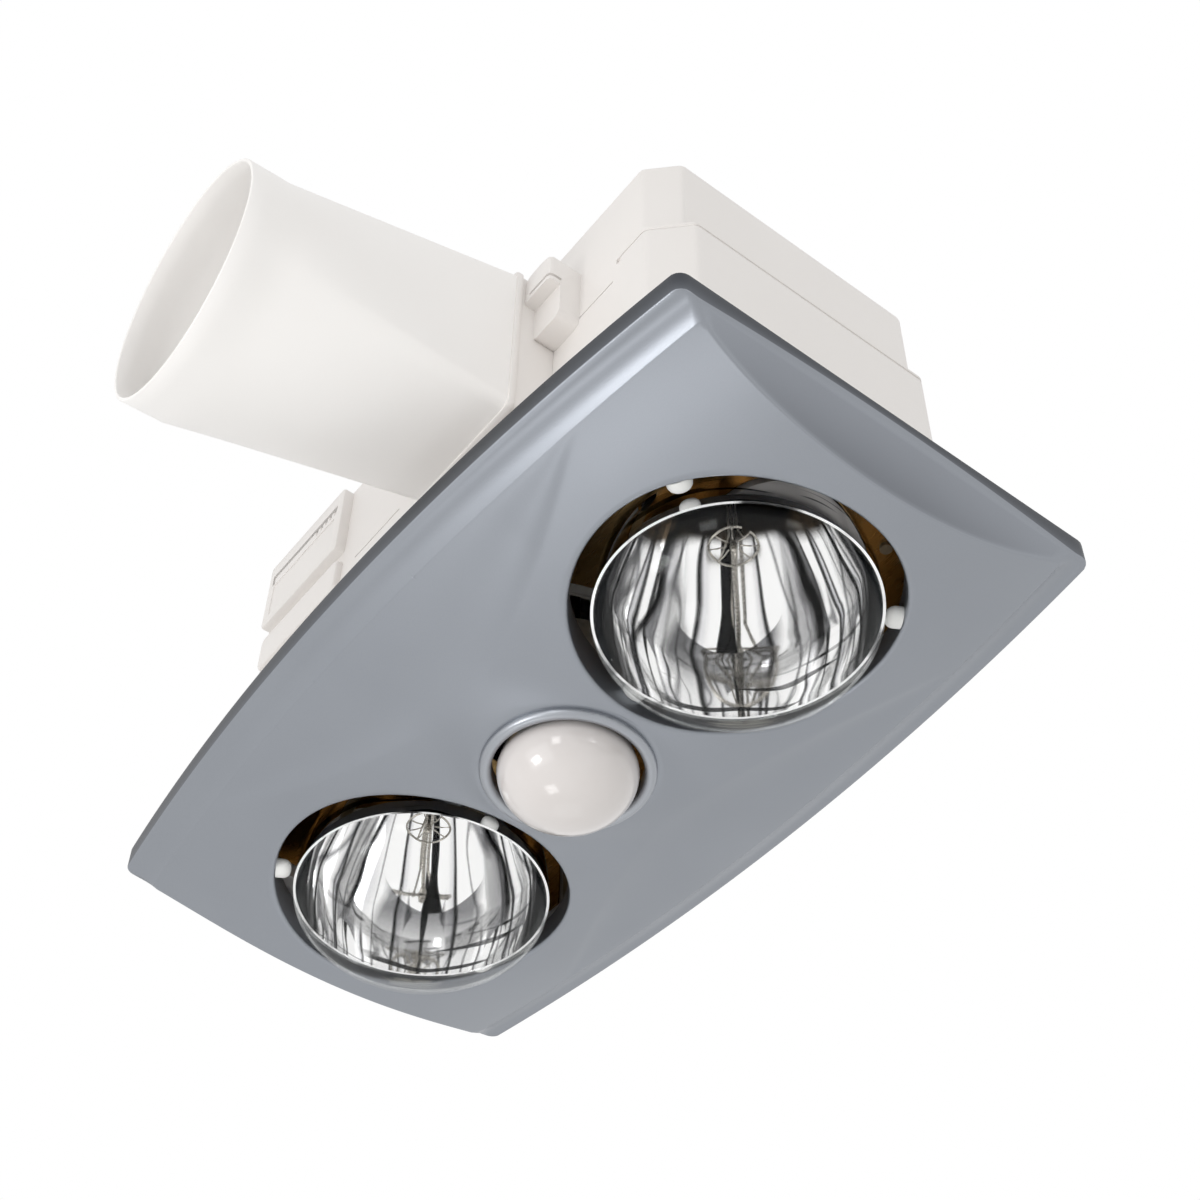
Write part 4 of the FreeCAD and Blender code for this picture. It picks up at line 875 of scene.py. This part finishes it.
neck_steps = [
    (2.5, NECK_BACK), (0, NECK_BACK), (0, -106.5), (-1.0, -106.9),
    (-1.2, -107.4), (-1.2, -109.4), (-0.8, JOINT_Y), (2.5, JOINT_Y),
]
neck_rings = stepped(OUTLET_X, outlet_middle, OUTLET_WIDE, outlet_high, neck_steps, 4.0, 0.6)
damper_stop = block((26.5, -90.65, 47.0), (96.5, -89.15, 54.5), 0.3)
neck_shape = joined(skin(neck_rings, shut=True), damper_stop)
make_piece("outlet_neck", neck_shape, "housing", "housing_cream", "outlet_collar")
latch_steps = ((0, -87.0), (0, -102.5), (0.7, -104.2), (2.2, -105.0))
latch_shape = capped(stepped(LATCH_X, LATCH_Z, LATCH_WIDE, LATCH_HIGH, latch_steps, 5.0))
latch = make_piece("outlet_latch", latch_shape, "housing", "housing_cream")
latch_slot = block((102, -107, 130.6), (120, -98, 132.8), 0.4)
latch_step = block((95, -107, 100), (120, -98.5, 128.0), 0.4)
carve(latch, [latch_slot, latch_step])

# %% [markdown]
# The duct changes from the neck's rectangle to a round spigot. Each point of the rectangle has its partner
# on the circle, and the rings between are mixes of the two, so corners fade out evenly along the way.

# %% Duct
DUCT_X, DUCT_LEVEL, DUCT_RADIUS, DUCT_WALL, SPIGOT = 33.0, 95.0, 61.0, 2.0, 22.0
DUCT_ROWS, CORNER_STEPS, SIDE_STEPS = 18, 5, 16
TONGUE_IN, TONGUE_OUT, TONGUE_LONG = 4.7, 2.7, 12.0
DROOP = math.radians(4)
MOUTH = Vector((DUCT_X, -245.0, DUCT_LEVEL))
DUCT_OUT = Vector((0, -math.cos(DROOP), -math.sin(DROOP)))
DUCT_UP = Vector((0, -math.sin(DROOP), math.cos(DROOP)))
CORNER_TURNS = (-38, -26, 26, 38, 142, 154, 206, 218, 322)


def throat_points(inset):
    """Points round the throat, span by span, from the lower right corner on."""
    wide, high, radius = OUTLET_WIDE / 2 - inset, outlet_high / 2 - inset, 6.0 - min(inset, 5.0)
    middle = Vector((OUTLET_X, JOINT_Y, outlet_middle))
    corners = []
    for i, j, start in ((1, -1, -90), (1, 1, 0), (-1, 1, 90), (-1, -1, 180)):
        heart = Vector((i * (wide - radius), 0, j * (high - radius)))
        turns = [math.radians(start + 90 * k / CORNER_STEPS) for k in range(CORNER_STEPS + 1)]
        corners.append([middle + heart + Vector((math.cos(t), 0, math.sin(t))) * radius for t in turns])
    points = []
    for corner, following in zip(corners, corners[1:] + corners[:1]):
        side = [corner[-1].lerp(following[0], k / SIDE_STEPS) for k in range(SIDE_STEPS)]
        points += corner[:-1] + side
    return points


def mouth_points(radius, back):
    centre = MOUTH - DUCT_OUT * back
    turns = []
    for number, (start, end) in enumerate(zip(CORNER_TURNS, CORNER_TURNS[1:])):
        count = SIDE_STEPS if number % 2 else CORNER_STEPS
        turns += [math.radians(start + (end - start) * k / count) for k in range(count)]
    return [centre + (Vector((math.cos(t), 0, 0)) + DUCT_UP * math.sin(t)) * radius for t in turns]


def duct_rings(inset):
    start, end = throat_points(inset), mouth_points(DUCT_RADIUS - inset, SPIGOT)
    shares = [row / DUCT_ROWS for row in range(DUCT_ROWS + 1)]
    rings = [[a.lerp(b, share) for a, b in zip(start, end)] for share in shares]
    return rings + [mouth_points(DUCT_RADIUS - inset, back) for back in (16.0, 8.0, 0.5)]


duct_lip = [mouth_points(DUCT_RADIUS - inset, 0.0) for inset in (0.4, 1.6)]
roots = [throat_points(TONGUE_IN), throat_points(TONGUE_OUT)]
tips = [[point + Vector((0, TONGUE_LONG, 0)) for point in root] for root in roots]
duct_skin = duct_rings(0) + duct_lip + duct_rings(DUCT_WALL)[::-1]
duct_shape = skin(duct_skin + roots[:1] + tips + roots[1:], shut=True)
duct = make_piece("duct_tube", duct_shape, "housing", "duct_white", "duct_adaptor", crisp=50)
print("duct points:", len(duct.data.vertices))

# %% [markdown]
# The wiring lid is a shallow tray on the upper box. A slot runs along its top with a row of notches below,
# and under that lies a bare recessed panel. A plain skirt on the lower box carries its outline on.

# %% Wiring lid
LID_X, LID_Z, LID_WIDE, LID_HIGH = -124.0, 156.0, 76.0, 50.0
NOTCHES, NOTCH_START, NOTCH_STEP, NOTCH_WIDE = 5, -112.0, 4.5, 2.2
SKIRT_Z, SKIRT_HIGH = 112.0, 24.0

lid_steps = ((2, -91.0), (2, -87.0), (0, -87.0), (0, -91.6), (0.4, -92.6), (1.4, -93.0))
lid_shape = capped(stepped(LID_X, LID_Z, LID_WIDE, LID_HIGH, lid_steps, 3.0, 0.8))
lid = make_piece("wiring_lid", lid_shape, "housing", "housing_cream", "terminal_cover")
lid_slot = block((-157, -95, 166.8), (-91, -89.5, 170.0), 0.5)
slot_tail = block((-157, -95, 162.0), (-154.6, -89.5, 168.0), 0.5)
bare_panel = block((-155, -95, 137.0), (-93, -92.5, 161.0), 0.3)
notch_places = [NOTCH_START + NOTCH_STEP * k for k in range(NOTCHES)]
notches = [block((x, -94, 163.5), (x + NOTCH_WIDE, -92.3, 167.0), 0.3) for x in notch_places]
carve(lid, [lid_slot, slot_tail, bare_panel] + notches)
skirt_steps = ((0, -87.0), (0, -89.4), (0.7, -90.4), (1.6, -90.7))
skirt_shape = capped(stepped(LID_X, SKIRT_Z, LID_WIDE, SKIRT_HIGH, skirt_steps, 4.0))
make_piece("wiring_skirt", skirt_shape, "housing", "housing_cream")

# %% [markdown]
# The paint of the fascia is a satin silver: fine metal flakes under a clear coat. The flakes are a grain of
# a third of a millimetre in colour and roughness, and the coat gives the soft second highlight. The steep
# edge round the outside carries painted shade, since it turns away from the lamps: a mask finds what lies far
# out and faces sideways, and paints it dark grey and a little rougher.

# %% Silver finishes
silver = Finish("fascia_silver", {"Metallic": 0.85, "Coat Weight": 0.15, "Coat Roughness": 0.2})
flakes, cloud = silver.grain(0.35), silver.grain(60.0)
silver_tone = silver.blend(flakes * 0.6 + cloud * 0.4, paint(140, 144, 151), paint(156, 160, 167))
facing = silver.node("ShaderNodeNewGeometry", out="Normal")
facing_down = 0 - silver.node("ShaderNodeSeparateXYZ", {}, {0: facing}, out="Z")
far_out = silver.sum("ABSOLUTE", silver.along("Y")).rises(0.088, 0.096)
far_along = silver.sum("ABSOLUTE", silver.along("X")).rises(0.198, 0.206)
# Painted shade: the steep rim and ends of the fascia are painted dark grey, as they turn away from the lamps.
steep_painted_shade = (1 - facing_down.rises(0.02, 0.62)) * silver.sum("MAXIMUM", far_out, far_along)
silver.coat_with({
    "Base Color": silver.blend(steep_painted_shade, silver_tone, paint(62, 65, 71)),
    "Roughness": 0.34 + flakes * 0.1 + steep_painted_shade * 0.1,
    "Normal": silver.dent(flakes, 0.012, 0.4),
})

bright = Finish("ring_silver", {"Metallic": 0.85, "Coat Weight": 0.2, "Coat Roughness": 0.18})
fine = bright.grain(0.3)
bright.coat_with({
    "Base Color": bright.blend(fine, paint(156, 160, 166), paint(172, 175, 181)),
    "Roughness": 0.32 + fine * 0.08,
    "Normal": bright.dent(fine, 0.008, 0.3),
})
print("silver nodes:", len(silver.tree.nodes))

# %% [markdown]
# Moulded plastic is never quite even: its colour drifts over a hand's width, and its skin has a fine grain
# from the tool. One recipe with a colour pair serves every plastic piece here, and rubber and ceramic too.

# %% Moulded plastics


def moulded(slot, dark, light, rough, grain_mm=0.6, depth_mm=0.01):
    finish = Finish(slot, {"Specular IOR Level": 0.45})
    drift, skin_grain = finish.grain(70.0), finish.grain(grain_mm)
    finish.coat_with({
        "Base Color": finish.blend(drift * 0.7 + skin_grain * 0.3, paint(*dark), paint(*light)),
        "Roughness": rough + skin_grain * 0.12,
        "Normal": finish.dent(skin_grain, depth_mm, 0.5),
    })


moulded("housing_cream", (230, 226, 222), (238, 234, 231), 0.38)
moulded("duct_white", (242, 239, 236), (248, 246, 244), 0.34)
moulded("inner_plastic", (212, 210, 204), (222, 220, 215), 0.42)
moulded("impeller_plastic", (52, 54, 57), (64, 66, 69), 0.45)
moulded("terminal_plastic", (224, 223, 218), (234, 233, 229), 0.35)
moulded("cutout_plastic", (44, 40, 36), (58, 53, 48), 0.5)
moulded("bumper_white", (236, 236, 233), (244, 244, 242), 0.45)
moulded("grommet_rubber", (28, 28, 28), (40, 40, 39), 0.65, 0.8, 0.03)
moulded("holder_ceramic", (226, 220, 206), (236, 231, 219), 0.55, 0.5, 0.03)
print("moulded finishes:", [name for name in finishes if "silver" not in name])

# %% [markdown]
# Sheet metal carries fine rolling lines. Noise drawn out along one axis gives them, in colour, in roughness
# and as a faint relief.

# %% Metals


def rolled(slot, dark, light, rough, grain_mm=0.5, stretch=(0.06, 1, 1)):
    finish = Finish(slot, {"Metallic": 1.0})
    lines, drift = finish.grain(grain_mm, stretch), finish.grain(25.0)
    finish.coat_with({
        "Base Color": finish.blend(lines * 0.5 + drift * 0.5, paint(*dark), paint(*light)),
        "Roughness": rough + lines * 0.14,
        "Normal": finish.dent(lines, 0.01, 0.4),
    })


rolled("shield_gold", (176, 142, 92), (206, 172, 118), 0.22)
rolled("steel", (176, 178, 180), (204, 205, 206), 0.28)
rolled("motor_steel", (128, 130, 133), (156, 158, 160), 0.34)
rolled("winding_copper", (150, 84, 44), (196, 120, 68), 0.3, 0.4, (1, 1, 0.1))
rolled("contact_brass", (186, 152, 84), (214, 182, 112), 0.26)
rolled("cap_metal", (178, 174, 164), (204, 200, 190), 0.25, 1.2, (0.05, 0.05, 1))
rolled("filament_metal", (150, 146, 138), (196, 192, 184), 0.2)
print("finishes so far:", len(finishes))

# %% [markdown]
# The clear front of a lamp is nearly all see-through, with a sheen that grows where it is seen aslant. True
# refraction would be slow and noisy here, so the sheen is a faint mirror whose alpha follows the Fresnel
# share. The opal globe is milky through and glossy outside, so a coat over a pale body is enough.

# %% Clear and opal glass
clear = Finish("lamp_glass", {"Metallic": 1.0, "Base Color": (0.95, 0.97, 0.97, 1)})
sheen = clear.node("ShaderNodeFresnel", {}, {"IOR": 1.45})
clear.coat_with({"Alpha": sheen * 0.24, "Roughness": 0.01 + clear.grain(30.0) * 0.02})

opal = Finish("opal_glass", {"Coat Weight": 0.6, "Coat Roughness": 0.04, "Specular IOR Level": 0.5})
milk = opal.grain(18.0)
opal.coat_with({
    "Base Color": opal.blend(milk, paint(217, 211, 208), paint(224, 219, 217)),
    "Roughness": 0.12 + milk * 0.05,
})
print("glass finishes:", [name for name in finishes if "glass" in name])

# %% [markdown]
# The silvered bowl is a mirror, and blown glass waves a little, so what it shows is broken into bright panels
# and dark strips. A white surround has nothing dark to show, so painted reflections are laid into the
# silvering's colour: a dark wedge between white panels, bands beside them, and thin hoops near the rim.
# All are measured from the lamp's own axis and pushed about by the waves that dent the mirror.

# %% Lamp mirror
BLACK, ASH = paint(20, 20, 21), paint(140, 140, 142)
PALE, WHITE = paint(226, 226, 228), paint(255, 255, 255)
BAND_STOPS = [
    (0.0, ASH), (0.05, ASH), (0.14, WHITE), (0.28, PALE), (0.33, BLACK), (0.355, BLACK), (0.39, WHITE),
    (0.56, WHITE), (0.58, ASH), (0.6, WHITE), (1.0, PALE),
]
mirror = Finish("lamp_mirror", {"Metallic": 1.0})
level, place_x, off_y = mirror.along("Z"), mirror.along("X"), mirror.along("Y")
off_x = place_x - mirror.sum("SIGN", place_x) * (LAMP_X * MM)
reach = mirror.sum("SQRT", off_x * off_x + off_y * off_y)
wave = mirror.grain(26.0, (1, 1, 0.7), 0.0)
ripple = (wave - 0.5) * 0.3
sideways = mirror.sum("ABSOLUTE", (off_x * 0.6 + off_y * 0.8) / reach)
low_down = 1 - level.rises(-0.004, 0.024)

# Painted reflection: a dark wedge between white panels, and bands beside them, in the silvering's colour.
wedge = sideways - ripple * 0.25 - (0.035 + low_down * 0.06)
inner = mirror.blend(wedge.rises(0.0, 0.02), BLACK, WHITE)
painted_reflection_bands = mirror.node("ShaderNodeValToRGB", {"stops": BAND_STOPS}, {0: sideways + ripple - 0.36})
swell = (sideways + ripple) ** 2 * 3.6 + low_down * low_down
panels = mirror.blend(swell.rises(0.88, 0.94), inner, painted_reflection_bands)

# Painted reflection: thin dark hoops near the rim, in the silvering's colour.
hoop = mirror.node("ShaderNodeCombineXYZ", {}, {0: off_x * 0.06, 1: off_y * 0.06, 2: level + wave * 0.006})
hoops = mirror.node("ShaderNodeTexNoise", {}, {"Vector": hoop, "Scale": 330.0, "Detail": 0.0})
painted_reflection_hoops = mirror.blend(hoops.rises(0.32, 0.40), BLACK, WHITE)
near_rim = 1 - level.rises(-0.026, 0.002)
silvered = 1 - level.rises(0.050, 0.056)
mirror.coat_with({
    "Base Color": mirror.blend(silvered, paint(44, 36, 26), mirror.blend(near_rim * 0.8, panels, painted_reflection_hoops)),
    "Roughness": 0.03 + wave * 0.03,
    "Normal": mirror.dent(wave, 0.6, 0.4),
})
print("mirror nodes:", len(mirror.tree.nodes))

# %% [markdown]
# The packed record names a finish for every CAD node, and each piece made here carries the name of its own.
# They could be picked from a list by hand, but a loop over the names can't forget a piece.

# %% Give every piece its finish
slots = {entry["node"]: entry["material_slot"] for entry in frame["record"]["subparts"]}
own = [piece for piece in bpy.data.objects if piece.type == "MESH" and "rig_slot" in piece]
wanted = [(node, slots[name]) for name, node in frame["nodes"].items()]
wanted += [(piece, piece["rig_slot"]) for piece in own]
for piece, slot in wanted:
    piece.data.materials.clear()
    piece.data.materials.append(finishes[slot])
print(len(own), "own pieces and", len(slots), "CAD nodes have a finish")

# %% [markdown]
# The camera looks up from below at the angle from which the fascia and the duct are both seen. Its three
# directions are written out, because aiming at a point would leave its roll open.

# %% Camera
RIGHT = Vector((0.6114, 0.7913, 0.0121))
UP = Vector((0.5827, -0.4605, 0.6696))
BACK = Vector((0.5354, -0.4023, -0.7426))
EYE = Vector((532.69, -383.92, -649.24))
view = bpy.data.cameras.new("view")
view.lens, view.sensor_width = 58.93, 36.0
camera = put_in_scene("view", view)
camera.matrix_world = Matrix.Translation(EYE * MM) @ Matrix((RIGHT, UP, BACK)).transposed().to_4x4()
bpy.context.scene.camera = camera
print("camera at", [round(c, 3) for c in camera.matrix_world.translation])

# %% [markdown]
# The studio is a white surround. What the camera sees of it, straight or in metal and glass, is full white,
# while the light that it throws on the object is a little less, so that pale plastic keeps its shading.

# %% White surround
AMBIENT = 0.78
world = bpy.data.worlds.new("surround")
bpy.context.scene.world = world
world.use_nodes = True
sky = Recipe(world.node_tree)


def shown_in(recipe):
    """1 for what the camera sees, straight or in metal and glass, and 0 for light on the object."""
    kinds = ("Camera", "Glossy", "Transmission")
    seen = [recipe.node("ShaderNodeLightPath", out=f"Is {kind} Ray") for kind in kinds]
    return (seen[0] + seen[1] + seen[2]).rises(0.0, 1.0)


backdrop = world.node_tree.nodes["Background"]
sky.feed(backdrop.inputs["Color"], (1, 1, 1, 1))
sky.feed(backdrop.inputs["Strength"], AMBIENT + shown_in(sky) * (1 - AMBIENT))
print("ambient light:", AMBIENT)

# %% [markdown]
# A pale floor lies far below and takes the object's faint shadow. It is lifted a little for what the camera
# sees, so that it runs into the white of the surround.

# %% Floor
FLOOR, REACH, FLOOR_LIFT = -2.2, 60.0, 0.2
floor_finish = Finish("pale_floor", {"Roughness": 0.9, "Specular IOR Level": 0.0, "Emission Strength": 1.0})
lift = shown_in(floor_finish) * FLOOR_LIFT
floor_finish.coat_with({
    "Base Color": floor_finish.blend(floor_finish.grain(400.0), paint(247, 247, 246), paint(251, 251, 250)),
    "Emission Color": floor_finish.node("ShaderNodeCombineColor", {}, {0: lift, 1: lift, 2: lift}),
})
floor_corners = [(i * REACH, j * REACH, FLOOR) for i, j in ((-1, -1), (1, -1), (1, 1), (-1, 1))]
floor_mesh = bpy.data.meshes.new("floor")
floor_mesh.from_pydata(floor_corners, [], [(0, 1, 2, 3)])
floor = put_in_scene("floor", floor_mesh)
floor.data.materials.append(finishes["pale_floor"])
print("floor at", FLOOR, "m")

# %% [markdown]
# Six soft boxes stand round the object. The left and right ones light the duct and the housing. The other
# four stand lower and light the fascia and the globe: small ones give clear highlights, and a large fill
# gives soft shading.

# %% Soft boxes


def soft_box(where, place, target, width, height, watts):
    name = f"soft_box_{where}"
    lamp = bpy.data.lights.new(name, "AREA")
    lamp.shape, lamp.size, lamp.size_y, lamp.energy = "RECTANGLE", width, height, watts
    box = put_in_scene(name, lamp)
    away = (Vector(place) - Vector(target)).normalized()
    box.matrix_world = Matrix.Translation(place) @ away.to_track_quat("Z", "Y").to_matrix().to_4x4()
    print(f"{name}: {watts} W at", [round(c, 2) for c in place])


soft_box("left", (0.87, -1.22, -0.15), (0, 0, 0), 0.3, 0.45, 1.6)
soft_box("right", (1.48, -0.05, 0.15), (0, 0, 0), 0.25, 0.4, 0.9)
soft_box("front", (-0.05, -0.91, -0.55), (0.18, -0.1, 0), 0.25, 0.25, 1.6)
soft_box("below", (-0.49, -0.32, -1.66), (0.19, -0.09, -0.02), 0.4, 0.4, 1.5)
soft_box("fill", (0.1, -1.6, -0.75), (0, -0.1, 0), 1.2, 1.2, 3.9)
soft_box("far", (-0.8, 0.6, -1.25), (0, 0, 0), 0.7, 0.7, 0.36)

# %% [markdown]
# Last, the view transform stays plain so that colours show as they are written.

# %% View transform
bpy.context.scene.view_settings.view_transform = "Standard"
